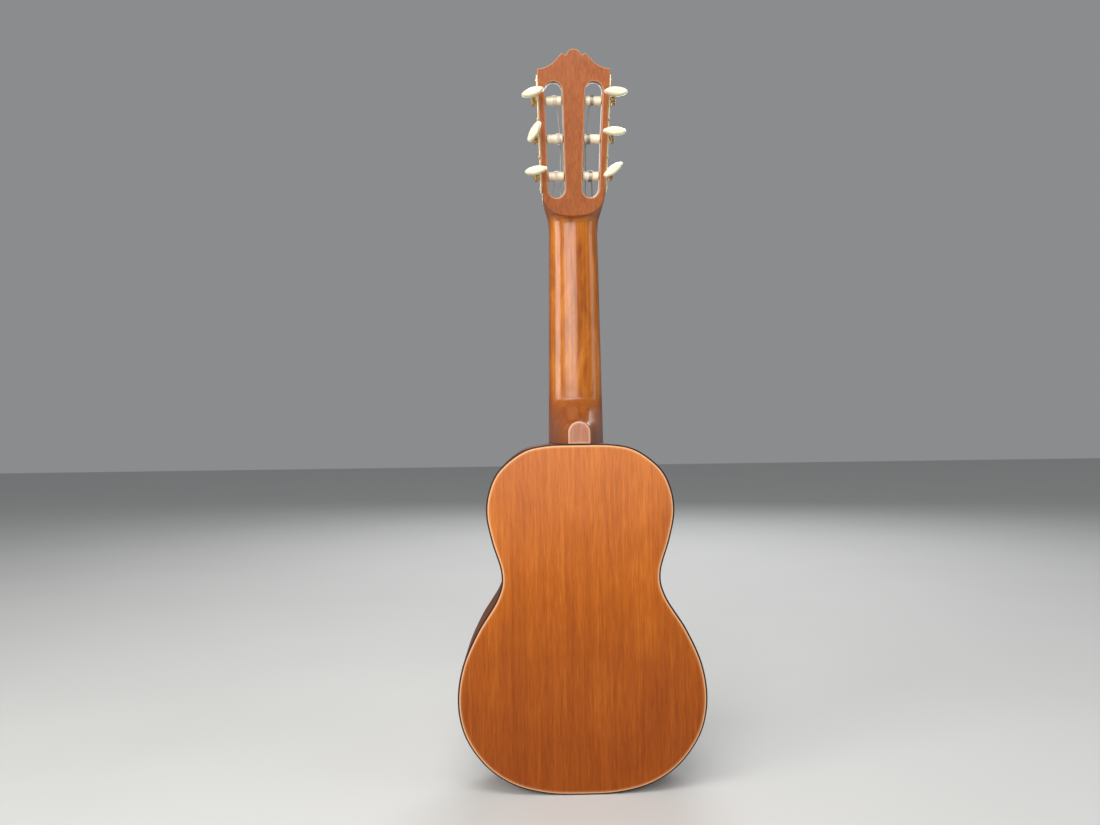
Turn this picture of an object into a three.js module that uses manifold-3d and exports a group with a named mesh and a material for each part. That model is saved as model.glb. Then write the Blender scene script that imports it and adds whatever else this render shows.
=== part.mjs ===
// A small six-string nylon guitar, built as the separate pieces that it is glued and screwed from.
// Units are millimetres. The finished instrument stands upright: +Z runs from the tail to the head,
// +X is the treble side, the soundboard faces -Y and the back faces +Y.
// The pieces are drawn in plan, as if the instrument lay on its back: X across, Y along, Z towards
// the player. The plan group is then stood up as a whole.

import * as THREE from "three";
import { mergeVertices } from "three/addons/utils/BufferGeometryUtils.js";
import Module from "manifold-3d";

const wasm = await Module();
wasm.setup();

// Body
const bodyLength = 321;
const bodyDepth = 70;
const plateThickness = 2.5;
const ribThickness = 2;
const bindingWidth = 1.4;
const liningWidth = 4.5;
const liningHeight = 6;
const outlineSteps = 3;
const halfOutline = [
  [0, 0],
  [33.8, 1.6],
  [64.5, 10],
  [89.3, 27.1],
  [108, 53.9],
  [114.6, 84.6],
  [110.2, 117.4],
  [96.3, 149.4],
  [77.6, 179.9],
  [73.3, 202],
  [81.9, 232.1],
  [86.7, 256.6],
  [84.2, 278.1],
  [74.6, 297.5],
  [53.8, 314.2],
  [32.2, 320.1],
  [0, bodyLength],
];
const tailStripHalfWidth = 7;
const blockHalfWidth = 27;
const neckBlockLength = 34;
const tailBlockLength = 14;
const soundholeY = 216;
const soundholeRadius = 34;
const rosetteInner = 37.5;
const rosetteOuter = 44;
const rosetteDepth = 0.6;
const barWidth = 6;
const barHeight = 12;
const barEndHeight = 3;
const barFullShare = 0.7;
const topBars = { upper: 262, lower: 173 };
const backBars = { upper: 262, middle: 190, lower: 80 };
const fanWidth = 5;
const fanHeight = 5;
const fanEndHeight = 1.5;
const fanTaper = 22;
const fanLow = 32;
const fanHigh = 164;
const fanSpreadLow = 44;
const fanSpreadHigh = 26;

// Neck and strings
const scaleLength = 433;
const fretCount = 18;
const nutY = bodyLength + scaleLength / 2;
const nutWidth = 48.5;
const nutThickness = 4.8;
const nutProud = 1.6;
const neckWidthAtBody = 54.4;
const fingerboardThickness = 5;
const fingerboardOverrun = 4;
const neckDepth = 15;
const neckDepthAtHeel = 16.5;
const heelTop = 46;
const heelCapWidth = 20.6;
const heelCapThickness = 2.7;
const stringRadii = { bass: [0.55, 0.45, 0.38], treble: [0.5, 0.42, 0.36] };
const stringSpreadNut = 41;
const stringSpreadSaddle = 54;
const saddleCompensation = 1.5;
const saddleTop = 9.3;

// Bridge
const bridgeLength = 148;
const bridgeWidth = 25;
const bridgeWingHeight = 3.6;
const bridgeBlockLength = 66;
const bridgeBeyondSaddle = 8;
const tieBlockWidth = 10;
const tieBlockHeight = 8;
const tieHoleHeight = 7.4;
const ledgeWidth = 8;
const ledgeHeight = 6;
const saddleWidth = 2.6;
const saddleLength = 62;
const saddleFoot = 2;

// Head
const headAngle = THREE.MathUtils.degToRad(15.2);
const headThickness = 18;
const throatGrowth = 11;
const headLowHalfWidth = 31;
const headTopHalfWidth = 34.5;
const throatEnd = 30;
const shoulderY = 147.2;
const crestY = 164.4;
const flatBackStart = 12;
const slotInset = 14.6;
const slotRadius = 8.3;
const slotLow = -46.8;
const slotHigh = 43.4;

// Tuners: their frame lies on the side of the head, centred on the middle roller
const middleRollerY = 83.8;
const tunerPitch = 35;
const rollerDepth = 8.5;
const rollerRadius = 4.5;
const journalRadius = 2.6;
const journalReach = 27;
const postRadius = 1.5;
const sideLean = Math.atan((headTopHalfWidth - headLowHalfWidth) / (shoulderY - throatEnd));
const plateOut = 1.2;
const plateLength = 108;
const plateWidth = 15;
const plateCentre = 4;
const wormOut = 5;
const wormOffset = 6;
const gearTeeth = 14;
const gearPitchRadius = 4;
const gearThickness = 3;
const toothHeight = 0.35;
const meshGap = 0.15;
const threadHalfLength = 3.9;
const threadLead = (2 * Math.PI * gearPitchRadius) / gearTeeth;
const wormPitchRadius = wormOffset - gearPitchRadius;
const tabWidth = 5.2;
const tabThickness = 1.2;
const tabCentre = 4.8;
const buttonStart = 16;
const buttonLength = 16;
const buttonHalfWidth = 10.6;
const buttonHalfThickness = 4.1;
const buttonTurns = { bass: [38, 0, -1], treble: [9, 57, 15] };

const seam = 0.05;
const fitGap = 0.3;
const topZ = bodyDepth / 2;
const backZ = -bodyDepth / 2;
const cutBeyond = 1;
const sliver = 0.005;

// ---------- materials ----------

const material = (color, roughness, metalness = 0) =>
  new THREE.MeshStandardMaterial({ color, roughness, metalness });

const backWood = material("#b5652a", 0.45);
const ribWood = material("#7a3f1a", 0.4);
const spruce = material("#d9b27a", 0.5);
const plainWood = material("#c79f6c", 0.8);
const neckWood = material("#9a5218", 0.25);
const headWood = material("#b56a35", 0.5);
const capWood = material("#b9805f", 0.5);
const darkWood = material("#3a241a", 0.55);
const blackPlastic = material("#15110f", 0.3);
const creamPlastic = material("#efe6c4", 0.3);
const nutPlastic = material("#f2ecd8", 0.4);
const brass = material("#b8913f", 0.35, 1);
const nylon = material("#dcdad2", 0.3);
const woundString = material("#a9a39a", 0.35, 0.8);
const rosettePrint = material("#5a3a22", 0.5);

// ---------- helpers ----------

function named(name, geometry, look) {
  const mesh = new THREE.Mesh(geometry, look);
  mesh.name = name;
  return mesh;
}

// A closed three.js geometry as a manifold solid, moved by a matrix
function solid(geometry, matrix = new THREE.Matrix4()) {
  const bare = geometry.clone().applyMatrix4(matrix);
  bare.deleteAttribute("normal");
  bare.deleteAttribute("uv");
  const merged = mergeVertices(bare, 1e-4);
  return new wasm.Manifold(
    new wasm.Mesh({
      numProp: 3,
      vertProperties: new Float32Array(merged.attributes.position.array),
      triVerts: new Uint32Array(merged.index.array),
    }),
  );
}

// The solid's mesh, with the slivers that cutting leaves taken out
function geometryOf(manifold) {
  const mesh = manifold.asOriginal().simplify(sliver).getMesh();
  const geometry = new THREE.BufferGeometry();
  geometry.setAttribute("position", new THREE.BufferAttribute(mesh.vertProperties, 3));
  geometry.setIndex(new THREE.BufferAttribute(mesh.triVerts, 1));
  return geometry;
}

const placed = (x, y, z) => new THREE.Matrix4().makeTranslation(x, y, z);

// A flat outline with holes, thickened from zLow to zHigh
function slab(points, zLow, zHigh, holes = []) {
  const shape = points instanceof THREE.Shape ? points : new THREE.Shape(points);
  shape.holes = holes.map((hole) => new THREE.Path(hole));
  const settings = { depth: zHigh - zLow, bevelEnabled: false, curveSegments: 5 };
  return new THREE.ExtrudeGeometry(shape, settings).translate(0, 0, zLow);
}

function circle(x, y, radius, sides) {
  const turns = Array.from({ length: sides }, (_, i) => (2 * Math.PI * i) / sides);
  return turns.map((a) => new THREE.Vector2(x + radius * Math.cos(a), y + radius * Math.sin(a)));
}

// A round bar from one point to another
function rod(from, to, radius, sides) {
  const along = to.clone().sub(from);
  const bar = new THREE.CylinderGeometry(radius, radius, along.length(), sides);
  const turn = new THREE.Quaternion().setFromUnitVectors(
    new THREE.Vector3(0, 1, 0),
    along.clone().normalize(),
  );
  const middle = from.clone().add(to).multiplyScalar(0.5);
  return bar.applyQuaternion(turn).translate(middle.x, middle.y, middle.z);
}

// A closed skin over rings of points, each ring with as many points as the others
function loft(rings) {
  const count = rings[0].length;
  const positions = rings.flat().flatMap((p) => [p.x, p.y, p.z]);
  const index = [];
  for (let i = 0; i + 1 < rings.length; i += 1) {
    for (let j = 0; j < count; j += 1) {
      const a = i * count + j;
      const b = i * count + ((j + 1) % count);
      index.push(a, b, b + count, a, b + count, a + count);
    }
  }
  const last = (rings.length - 1) * count;
  for (let j = 1; j + 1 < count; j += 1) {
    index.push(0, j + 1, j, last, last + j, last + j + 1);
  }
  const geometry = new THREE.BufferGeometry();
  geometry.setAttribute("position", new THREE.Float32BufferAttribute(positions, 3));
  geometry.setIndex(index);
  return geometry;
}

const smooth = (x) => THREE.MathUtils.smoothstep(x, 0, 1);
const mix = THREE.MathUtils.lerp;

// ---------- body ----------

const leftHalf = halfOutline.slice(1, -1).reverse();
const outlinePoints = [...halfOutline, ...leftHalf.map(([x, y]) => [-x, y])];
const bodyCurve = new THREE.CatmullRomCurve3(
  outlinePoints.map(([x, y]) => new THREE.Vector3(x, y, 0)),
  true,
  "catmullrom",
  0.5,
);
const outlineCount = outlinePoints.length * outlineSteps;

// The body's outline, moved inwards
function outline(inset) {
  return Array.from({ length: outlineCount }, (_, i) => {
    const point = bodyCurve.getPoint(i / outlineCount);
    const along = bodyCurve.getTangent(i / outlineCount);
    return new THREE.Vector2(point.x - along.y * inset, point.y + along.x * inset);
  });
}

// The treble half of the outline, from the tail to the neck
const trebleHalf = (inset) => outline(inset).slice(0, outlineCount / 2 + 1);

const mirrored = (points) => points.map((p) => new THREE.Vector2(-p.x, p.y)).reverse();

function makeRib(name, side) {
  const outer = trebleHalf(0).slice(1);
  const inner = trebleHalf(ribThickness).slice(1);
  outer.unshift(new THREE.Vector2(tailStripHalfWidth, 0));
  inner.unshift(new THREE.Vector2(tailStripHalfWidth, ribThickness));
  const wall = [...outer, ...inner.reverse()];
  const points = side > 0 ? wall : mirrored(wall);
  const inside = topZ - plateThickness;
  return named(name, slab(points, -inside, inside), ribWood);
}

function makeTailStrip() {
  const inside = topZ - plateThickness;
  const w = tailStripHalfWidth;
  const points = [
    new THREE.Vector2(-w, 0),
    new THREE.Vector2(w, 0),
    new THREE.Vector2(w, ribThickness),
    new THREE.Vector2(-w, ribThickness),
  ];
  return named("tail_strip", slab(points, -inside, inside), blackPlastic);
}

function makeBinding(name, zLow) {
  const ring = slab(outline(0), zLow, zLow + plateThickness, [outline(bindingWidth)]);
  return named(name, ring, blackPlastic);
}

function makeLining(name, zLow) {
  const inner = outline(ribThickness + liningWidth);
  const ring = slab(outline(ribThickness), zLow, zLow + liningHeight, [inner]);
  return named(name, ring, plainWood);
}

function makeTopPlate() {
  const hole = circle(0, soundholeY, soundholeRadius, 32);
  const board = slab(outline(bindingWidth), topZ - plateThickness, topZ, [hole]);
  const channel = slab(
    circle(0, soundholeY, rosetteOuter + fitGap, 40),
    topZ - rosetteDepth - fitGap,
    topZ + cutBeyond,
    [circle(0, soundholeY, rosetteInner - fitGap, 40)],
  );
  return named("top_plate", geometryOf(solid(board).subtract(solid(channel))), spruce);
}

function makeRosette() {
  const inner = circle(0, soundholeY, rosetteInner, 40);
  const ring = slab(circle(0, soundholeY, rosetteOuter, 40), topZ - rosetteDepth, topZ, [inner]);
  return named("rosette", ring, rosettePrint);
}

// A block across one end, shaped to the ribs and standing between the two linings
function makeBlock(name, atNeck) {
  const far = atNeck ? bodyLength - neckBlockLength : tailBlockLength;
  const curve = trebleHalf(ribThickness + seam);
  const ordered = atNeck ? curve.reverse() : curve;
  const i = ordered.findIndex((p) => p.x > blockHalfWidth);
  const [before, after] = [ordered[i - 1], ordered[i]];
  const share = (blockHalfWidth - before.x) / (after.x - before.x);
  const shoulder = new THREE.Vector2(blockHalfWidth, mix(before.y, after.y, share));
  const middle = new THREE.Vector2(0, ordered[0].y);
  const right = [middle, ...ordered.slice(1, i), shoulder, new THREE.Vector2(blockHalfWidth, far)];
  const points = [...right, ...mirrored(right.slice(1))];
  const z = topZ - plateThickness - liningHeight - seam;
  return named(name, slab(points, -z, z), plainWood);
}

// The inner half width of the body at a distance from the tail
function halfWidthAt(y, inset) {
  const points = trebleHalf(inset);
  const i = points.findIndex((p, k) => k > 0 && points[k - 1].y <= y && p.y > y);
  const share = (y - points[i - 1].y) / (points[i].y - points[i - 1].y);
  return mix(points[i - 1].x, points[i].x, share);
}

// A bar across the inside of a plate, its ends planed down to nothing
function makeBar(name, y, isTop) {
  const inset = ribThickness + liningWidth + 1;
  const half = Math.min(
    halfWidthAt(y - barWidth / 2, inset),
    halfWidthAt(y + barWidth / 2, inset),
  );
  const profile = [
    new THREE.Vector2(-half, 0),
    new THREE.Vector2(half, 0),
    new THREE.Vector2(half, barEndHeight),
    new THREE.Vector2(half * barFullShare, barHeight),
    new THREE.Vector2(-half * barFullShare, barHeight),
    new THREE.Vector2(-half, barEndHeight),
  ];
  const bar = named(name, slab(profile, -barWidth / 2, barWidth / 2), plainWood);
  bar.rotation.x = isTop ? -Math.PI / 2 : Math.PI / 2;
  bar.position.set(0, y, (isTop ? 1 : -1) * (topZ - plateThickness));
  return bar;
}

function makeFan(name, xLow, xHigh) {
  const from = [xLow, fanLow];
  const to = [xHigh, fanHigh];
  const length = Math.hypot(to[0] - from[0], to[1] - from[1]);
  const profile = [
    new THREE.Vector2(0, 0),
    new THREE.Vector2(length, 0),
    new THREE.Vector2(length, fanEndHeight),
    new THREE.Vector2(length - fanTaper, fanHeight),
    new THREE.Vector2(fanTaper, fanHeight),
    new THREE.Vector2(0, fanEndHeight),
  ];
  const strut = named(name, slab(profile, -fanWidth / 2, fanWidth / 2), spruce);
  strut.rotation.order = "ZXY";
  strut.rotation.set(-Math.PI / 2, 0, Math.atan2(to[1] - from[1], to[0] - from[0]));
  strut.position.set(from[0], from[1], topZ - plateThickness - seam);
  return strut;
}

function makeBody() {
  const body = new THREE.Group();
  const inside = topZ - plateThickness;
  body.add(
    named("back_plate", slab(outline(bindingWidth), backZ, backZ + plateThickness), backWood),
    makeTopPlate(),
    makeRosette(),
    makeRib("rib_treble", 1),
    makeRib("rib_bass", -1),
    makeTailStrip(),
    makeBinding("back_binding", backZ),
    makeBinding("top_binding", topZ - plateThickness),
    makeLining("back_lining", -inside),
    makeLining("top_lining", inside - liningHeight),
    makeBlock("neck_block", true),
    makeBlock("tail_block", false),
    makeBar("top_bar_upper", topBars.upper, true),
    makeBar("top_bar_lower", topBars.lower, true),
    makeBar("back_bar_upper", backBars.upper, false),
    makeBar("back_bar_middle", backBars.middle, false),
    makeBar("back_bar_lower", backBars.lower, false),
    makeFan("fan_strut_treble", fanSpreadLow, fanSpreadHigh),
    makeFan("fan_strut_centre", 0, 0),
    makeFan("fan_strut_bass", -fanSpreadLow, -fanSpreadHigh),
  );
  return body;
}

// ---------- bridge ----------

const saddleY = nutY - scaleLength - saddleCompensation;
const tieEdgeY = saddleY - bridgeWidth + bridgeBeyondSaddle + tieBlockWidth + 0.4;

function makeBridge() {
  const low = saddleY - bridgeWidth + bridgeBeyondSaddle;
  const z = topZ + seam;
  const board = (halfLength, width, height, y) =>
    placed(0, y + width / 2, z + height / 2).multiply(
      new THREE.Matrix4().makeScale(2 * halfLength, width, height),
    );
  const cube = new THREE.BoxGeometry(1, 1, 1);
  const wings = solid(cube, board(bridgeLength / 2, bridgeWidth, bridgeWingHeight, low));
  const tieBlock = solid(cube, board(bridgeBlockLength / 2, tieBlockWidth, tieBlockHeight, low));
  const ledge = solid(
    cube,
    board(bridgeBlockLength / 2, ledgeWidth, ledgeHeight, saddleY - ledgeWidth / 2),
  );
  const slotHalf = saddleLength / 2 + fitGap;
  const slot = placed(0, saddleY, z + saddleFoot + ledgeHeight / 2).multiply(
    new THREE.Matrix4().makeScale(2 * slotHalf, saddleWidth + 2 * fitGap, ledgeHeight),
  );
  const bridge = wings.add(tieBlock).add(ledge).subtract(solid(cube, slot));
  return named("bridge", geometryOf(bridge), darkWood);
}

function makeSaddle() {
  const low = topZ + saddleFoot + seam + fitGap;
  const high = topZ + saddleTop;
  const saddle = new THREE.BoxGeometry(saddleLength, saddleWidth, high - low);
  const mesh = named("saddle", saddle, nutPlastic);
  mesh.position.set(0, saddleY, (low + high) / 2);
  return mesh;
}

// ---------- neck ----------

const boardWidthAt = (y) => mix(nutWidth, neckWidthAtBody, (nutY - y) / (nutY - bodyLength));
const fretY = (n) => nutY - scaleLength * (1 - 2 ** (-n / 12));

function makeFingerboard() {
  const low = fretY(fretCount) - fingerboardOverrun;
  const wide = boardWidthAt(low) / 2;
  const narrow = nutWidth / 2;
  const points = [
    new THREE.Vector2(-wide, low),
    new THREE.Vector2(wide, low),
    new THREE.Vector2(narrow, nutY),
    new THREE.Vector2(-narrow, nutY),
  ];
  return named("fingerboard", slab(points, topZ, topZ + fingerboardThickness), darkWood);
}

function makeNut() {
  const height = fingerboardThickness + nutProud;
  const mesh = named("nut", new THREE.BoxGeometry(nutWidth, nutThickness, height), nutPlastic);
  mesh.position.set(0, nutY + nutThickness / 2, topZ + height / 2);
  return mesh;
}

// One cross-section of the neck. A quarter curve runs back from each front edge to a flat strip.
// front is the front line's point, tilt leans the section back, cap is where the flat strip lies.
function section({ front, tilt, halfWidth, depth, flat, cap, bow, sweep }) {
  const reach = Math.min(depth, cap);
  const limit = Math.asin(reach / depth);
  const steps = 6;
  const half = Array.from({ length: steps + 1 }, (_, i) => {
    const angle = (limit * i) / steps;
    const x = flat + (halfWidth - flat) * Math.cos(angle) ** bow;
    return [Math.max(x, flat), depth * Math.sin(angle) ** sweep];
  });
  const whole = [...half, ...half.map(([x, d]) => [-x, d]).reverse()];
  return whole.map(
    ([x, d]) => new THREE.Vector3(x, front.y - d * Math.sin(tilt), front.z - d * Math.cos(tilt)),
  );
}

const plain = { tilt: 0, flat: 0.4, cap: 1000, bow: 1, sweep: 1 };

function neckSection(y) {
  const depth = mix(neckDepth, neckDepthAtHeel, (nutY - y) / (nutY - bodyLength));
  const front = new THREE.Vector3(0, y, topZ);
  return section({ ...plain, front, halfWidth: boardWidthAt(y) / 2, depth });
}

// The heel deepens along a hollow curve until its flat end meets the cap
function heelSection(y) {
  const capRadius = heelCapWidth / 2;
  const full = bodyDepth - heelCapThickness - fitGap;
  const capTop = bodyLength + 2 * capRadius;
  const above = Math.max(0, (y - capTop) / (bodyLength + heelTop - capTop));
  const depth = mix(full, neckDepthAtHeel, above ** 0.42);
  const round = Math.max(0, (y - bodyLength - capRadius) / capRadius);
  const flat = round < 1 ? capRadius * Math.sqrt(1 - round * round) : 0;
  const v = 1 - above ** 0.8;
  const front = new THREE.Vector3(0, y, topZ);
  return section({
    ...plain,
    front,
    halfWidth: boardWidthAt(y) / 2,
    depth,
    flat: Math.max(flat, plain.flat),
    bow: 1 + 0.8 * v,
    sweep: 1 + 0.3 * v,
  });
}

const headFrame = new THREE.Group();
headFrame.position.set(0, nutY, topZ + nutThickness * Math.tan(headAngle));
headFrame.rotation.x = -headAngle;
headFrame.updateMatrix();

const nutEdge = nutThickness / Math.cos(headAngle);

// Between the nut and the first tuner the section widens, squares up and leans back with the head.
// Its points are in the head's own frame.
function throatSection(s) {
  const opening = smooth((s + 2) / (throatEnd + 2));
  const growth = (s - nutEdge) / (flatBackStart - nutEdge);
  const depth =
    s < flatBackStart
      ? mix(neckDepth + 0.4, headThickness, growth * growth)
      : headThickness * Math.exp((s - flatBackStart) / throatGrowth);
  return section({
    ...plain,
    front: new THREE.Vector3(0, s, 0),
    tilt: (headAngle * (smooth(growth) - 1)) / 2,
    halfWidth: mix(nutWidth / 2, headLowHalfWidth, opening),
    depth,
    cap: headThickness,
  });
}

function makeNeck() {
  // Close together round the top of the cap and where the heel's hollow curve is tightest
  const heel = [0.1, 10, 15, 19, 20.5, 22, 25, 30, 37, 45].map((y) => bodyLength + y);
  const shaft = [99, 159, 211].map((y) => bodyLength + y);
  const end = throatSection(nutEdge).map((p) => p.applyMatrix4(headFrame.matrix));
  const rings = [...heel.map(heelSection), ...shaft.map(neckSection), end];
  return named("neck", loft(rings), neckWood);
}

function makeHeelCap() {
  const r = heelCapWidth / 2;
  const tongue = new THREE.Shape();
  tongue.moveTo(-r, bodyLength + 0.1);
  tongue.lineTo(r, bodyLength + 0.1);
  tongue.lineTo(r, bodyLength + r);
  tongue.absarc(0, bodyLength + r, r, 0, Math.PI);
  return named("heel_cap", slab(tongue, backZ, backZ + heelCapThickness), capWood);
}

// ---------- head ----------

function headOutline() {
  const shape = new THREE.Shape();
  shape.moveTo(-headLowHalfWidth, throatEnd);
  shape.lineTo(headLowHalfWidth, throatEnd);
  shape.lineTo(headTopHalfWidth, shoulderY);
  shape.bezierCurveTo(27, shoulderY, 21, 151, 17.2, 154.6);
  shape.quadraticCurveTo(13, 159.5, 10.5, 160.8);
  shape.lineTo(8.5, 159.3);
  shape.lineTo(6.9, 159.3);
  shape.quadraticCurveTo(4.5, crestY, 0, crestY);
  shape.quadraticCurveTo(-4.5, crestY, -6.9, 159.3);
  shape.lineTo(-8.5, 159.3);
  shape.lineTo(-10.5, 160.8);
  shape.quadraticCurveTo(-13, 159.5, -17.2, 154.6);
  shape.bezierCurveTo(-21, 151, -27, shoulderY, -headTopHalfWidth, shoulderY);
  return shape;
}

// The frame of one row of tuners, with X outwards on the treble side
function sideFrame(side) {
  const frame = new THREE.Group();
  const out = headLowHalfWidth + (middleRollerY - throatEnd) * Math.tan(sideLean);
  frame.position.set(side * out, middleRollerY, 0);
  frame.rotation.z = -side * sideLean;
  frame.updateMatrix();
  return frame;
}

const sides = { bass: sideFrame(-1), treble: sideFrame(1) };
const sign = { bass: -1, treble: 1 };
const rollerPlaces = [-tunerPitch, 0, tunerPitch];

function makeHeadstock() {
  const stations = [nutEdge + fitGap, 10, flatBackStart, 14.5, 17, 20, 24, throatEnd];
  const throat = solid(loft(stations.map(throatSection)));
  let head = throat.add(solid(slab(headOutline(), -headThickness, 0)));
  for (const name of ["bass", "treble"]) {
    const frame = sides[name].matrix;
    const x = -sign[name] * slotInset;
    const slot = new THREE.Shape();
    slot.absarc(x, slotHigh, slotRadius, 0, Math.PI);
    slot.absarc(x, slotLow, slotRadius, Math.PI, 2 * Math.PI);
    const cut = slab(slot, -headThickness - cutBeyond, cutBeyond);
    head = head.subtract(solid(cut, frame));
    for (const y of rollerPlaces) {
      const from = new THREE.Vector3(sign[name] * cutBeyond, y, -rollerDepth);
      const to = new THREE.Vector3(-sign[name] * (journalReach + 1), y, -rollerDepth);
      head = head.subtract(solid(rod(from, to, journalRadius + 0.5, 12), frame));
    }
  }
  return named("headstock", geometryOf(head), headWood);
}

// ---------- tuners ----------

// The plate on the side of the head, with two bent tabs that hold each worm
function makeTunerPlate(side) {
  const k = sign[side];
  const cube = new THREE.BoxGeometry(1, 1, 1);
  const box = (x, y, z, w, h, d) =>
    solid(cube, placed(x, y, z).multiply(new THREE.Matrix4().makeScale(w, h, d)));
  let plate = box(
    k * (seam + plateOut / 2),
    plateCentre,
    -rollerDepth - 0.5,
    plateOut,
    plateLength,
    plateWidth,
  );
  const tabReach = wormOut + tabWidth / 2 - 0.2;
  for (const y of rollerPlaces) {
    for (const z of [-tabCentre, tabCentre]) {
      const x = k * (seam + tabReach / 2);
      plate = plate.add(box(x, y + wormOffset, z - rollerDepth, tabReach, tabWidth, tabThickness));
    }
    const shaft = (z) => new THREE.Vector3(k * wormOut, y + wormOffset, z - rollerDepth);
    const bearing = rod(shaft(-tabCentre - 2), shaft(tabCentre + 2), postRadius + 0.35, 10);
    plate = plate.subtract(solid(bearing));
    const centre = (x) => new THREE.Vector3(k * x, y, -rollerDepth);
    plate = plate.subtract(solid(rod(centre(-1), centre(3), journalRadius + 0.4, 12)));
  }
  return named(`tuner_plate_${side}`, geometryOf(plate), brass);
}

// Worm and shaft in one: rings along the shaft, with a helical thread in the middle
function makeWorm(name, side, y) {
  const threadRadius = (depth, angle) => {
    const phase = -depth / threadLead - (angle + Math.PI / 2) / (2 * Math.PI);
    const swing = toothHeight * Math.cos(2 * Math.PI * phase);
    return wormPitchRadius - meshGap + swing;
  };
  const ring = (depth, radiusAt) => {
    const turns = Array.from({ length: 10 }, (_, i) => (-2 * Math.PI * i) / 10);
    return turns.map((a) => {
      const r = radiusAt(depth, a);
      return new THREE.Vector3(r * Math.cos(a), r * Math.sin(a), -depth);
    });
  };
  const shaftRadius = () => postRadius;
  const threadSteps = 18;
  const rings = [ring(-tabCentre - 1.1, shaftRadius), ring(-threadHalfLength, shaftRadius)];
  for (let i = 0; i <= threadSteps; i += 1) {
    const share = i / threadSteps;
    const depth = mix(-threadHalfLength + 0.2, threadHalfLength - 0.2, share);
    rings.push(ring(depth, threadRadius));
  }
  rings.push(ring(threadHalfLength, shaftRadius));
  rings.push(ring(buttonStart + buttonLength / 2, shaftRadius));
  const worm = named(name, loft(rings), brass);
  worm.position.set(sign[side] * wormOut, y + wormOffset, -rollerDepth);
  return worm;
}

// A flat-sided oval button, thickest in the middle and bored for its shaft
function makeButton(name, side, y, turn) {
  const quarter = [
    [buttonHalfWidth, 0.37 * buttonHalfThickness],
    [0.89 * buttonHalfWidth, 0.73 * buttonHalfThickness],
    [0.4 * buttonHalfWidth, buttonHalfThickness],
  ];
  const upper = [...quarter, ...quarter.map(([x, v]) => [-x, v]).reverse()];
  const around = [...upper, ...upper.map(([x, v]) => [-x, -v])];
  const ring = (depth, wide, thick) =>
    around.map(([x, v]) => new THREE.Vector3(x * wide, -v * thick, -depth));
  const grip = loft([
    ring(0, 0.3, 0.72),
    ring(2, 0.55, 0.82),
    ring(5, 0.92, 1),
    ring(9, 1, 1),
    ring(13, 0.97, 0.95),
    ring(buttonLength, 0.86, 0.62),
  ]);
  const mouth = new THREE.Vector3(0, 0, cutBeyond);
  const end = new THREE.Vector3(0, 0, -buttonLength / 2 - 2 * fitGap);
  const bored = solid(grip).subtract(solid(rod(mouth, end, postRadius + 0.4, 10)));
  const button = named(name, geometryOf(bored), creamPlastic);
  button.position.set(sign[side] * wormOut, y + wormOffset, -rollerDepth - buttonStart);
  button.rotation.z = THREE.MathUtils.degToRad(-turn);
  return button;
}

// A worm wheel: its rim rises and falls once for each tooth, with a hollow facing the worm
function makeGear(name, side, y) {
  const samples = gearTeeth * 4;
  const rim = Array.from({ length: samples }, (_, i) => {
    const angle = (2 * Math.PI * i) / samples;
    const r = gearPitchRadius - meshGap - toothHeight * Math.cos(gearTeeth * angle);
    return new THREE.Vector2(r * Math.sin(angle), r * Math.cos(angle));
  }).reverse();
  const wheel = slab(rim, -gearThickness / 2, gearThickness / 2, [
    circle(0, 0, postRadius + 0.35, 10),
  ]);
  const gear = named(name, wheel, brass);
  gear.rotation.y = Math.PI / 2;
  gear.position.set(sign[side] * wormOut, y, -rollerDepth);
  return gear;
}

// The string roller: a journal in the centre web, the barrel in the slot, then the post out to the gear
function makeRoller(name, side, y) {
  const barrelIn = slotInset + slotRadius - 0.5;
  const barrelOut = slotInset - slotRadius + 0.5;
  const profile = [
    [0, -journalReach],
    [journalRadius, -journalReach],
    [journalRadius, -barrelIn],
    [rollerRadius, -barrelIn],
    [rollerRadius, -barrelOut],
    [journalRadius, -barrelOut],
    [journalRadius, wormOut - gearThickness / 2 - fitGap],
    [postRadius, wormOut - gearThickness / 2 - fitGap],
    [postRadius, wormOut + gearThickness / 2],
    [0, wormOut + gearThickness / 2],
  ];
  const turned = new THREE.LatheGeometry(
    profile.map(([r, a]) => new THREE.Vector2(r, a)),
    12,
  );
  const roller = named(name, turned, creamPlastic);
  roller.rotation.z = (-sign[side] * Math.PI) / 2;
  roller.position.set(0, y, -rollerDepth);
  return roller;
}

function makeHead() {
  const head = headFrame.clone();
  head.add(makeHeadstock());
  for (const side of ["bass", "treble"]) {
    const frame = sides[side].clone();
    frame.add(makeTunerPlate(side));
    rollerPlaces.forEach((y, i) => {
      const place = `${side}_${i + 1}`;
      frame.add(
        makeWorm(`worm_${place}`, side, y),
        makeButton(`button_${place}`, side, y, buttonTurns[side][i]),
        makeGear(`gear_${place}`, side, y),
        makeRoller(`roller_${place}`, side, y),
      );
    });
    head.add(frame);
  }
  return head;
}

// ---------- strings ----------

// Where each string meets its roller, across the side frame from the head's side
const windingInset = [13.2, 20, 17.5];

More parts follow.
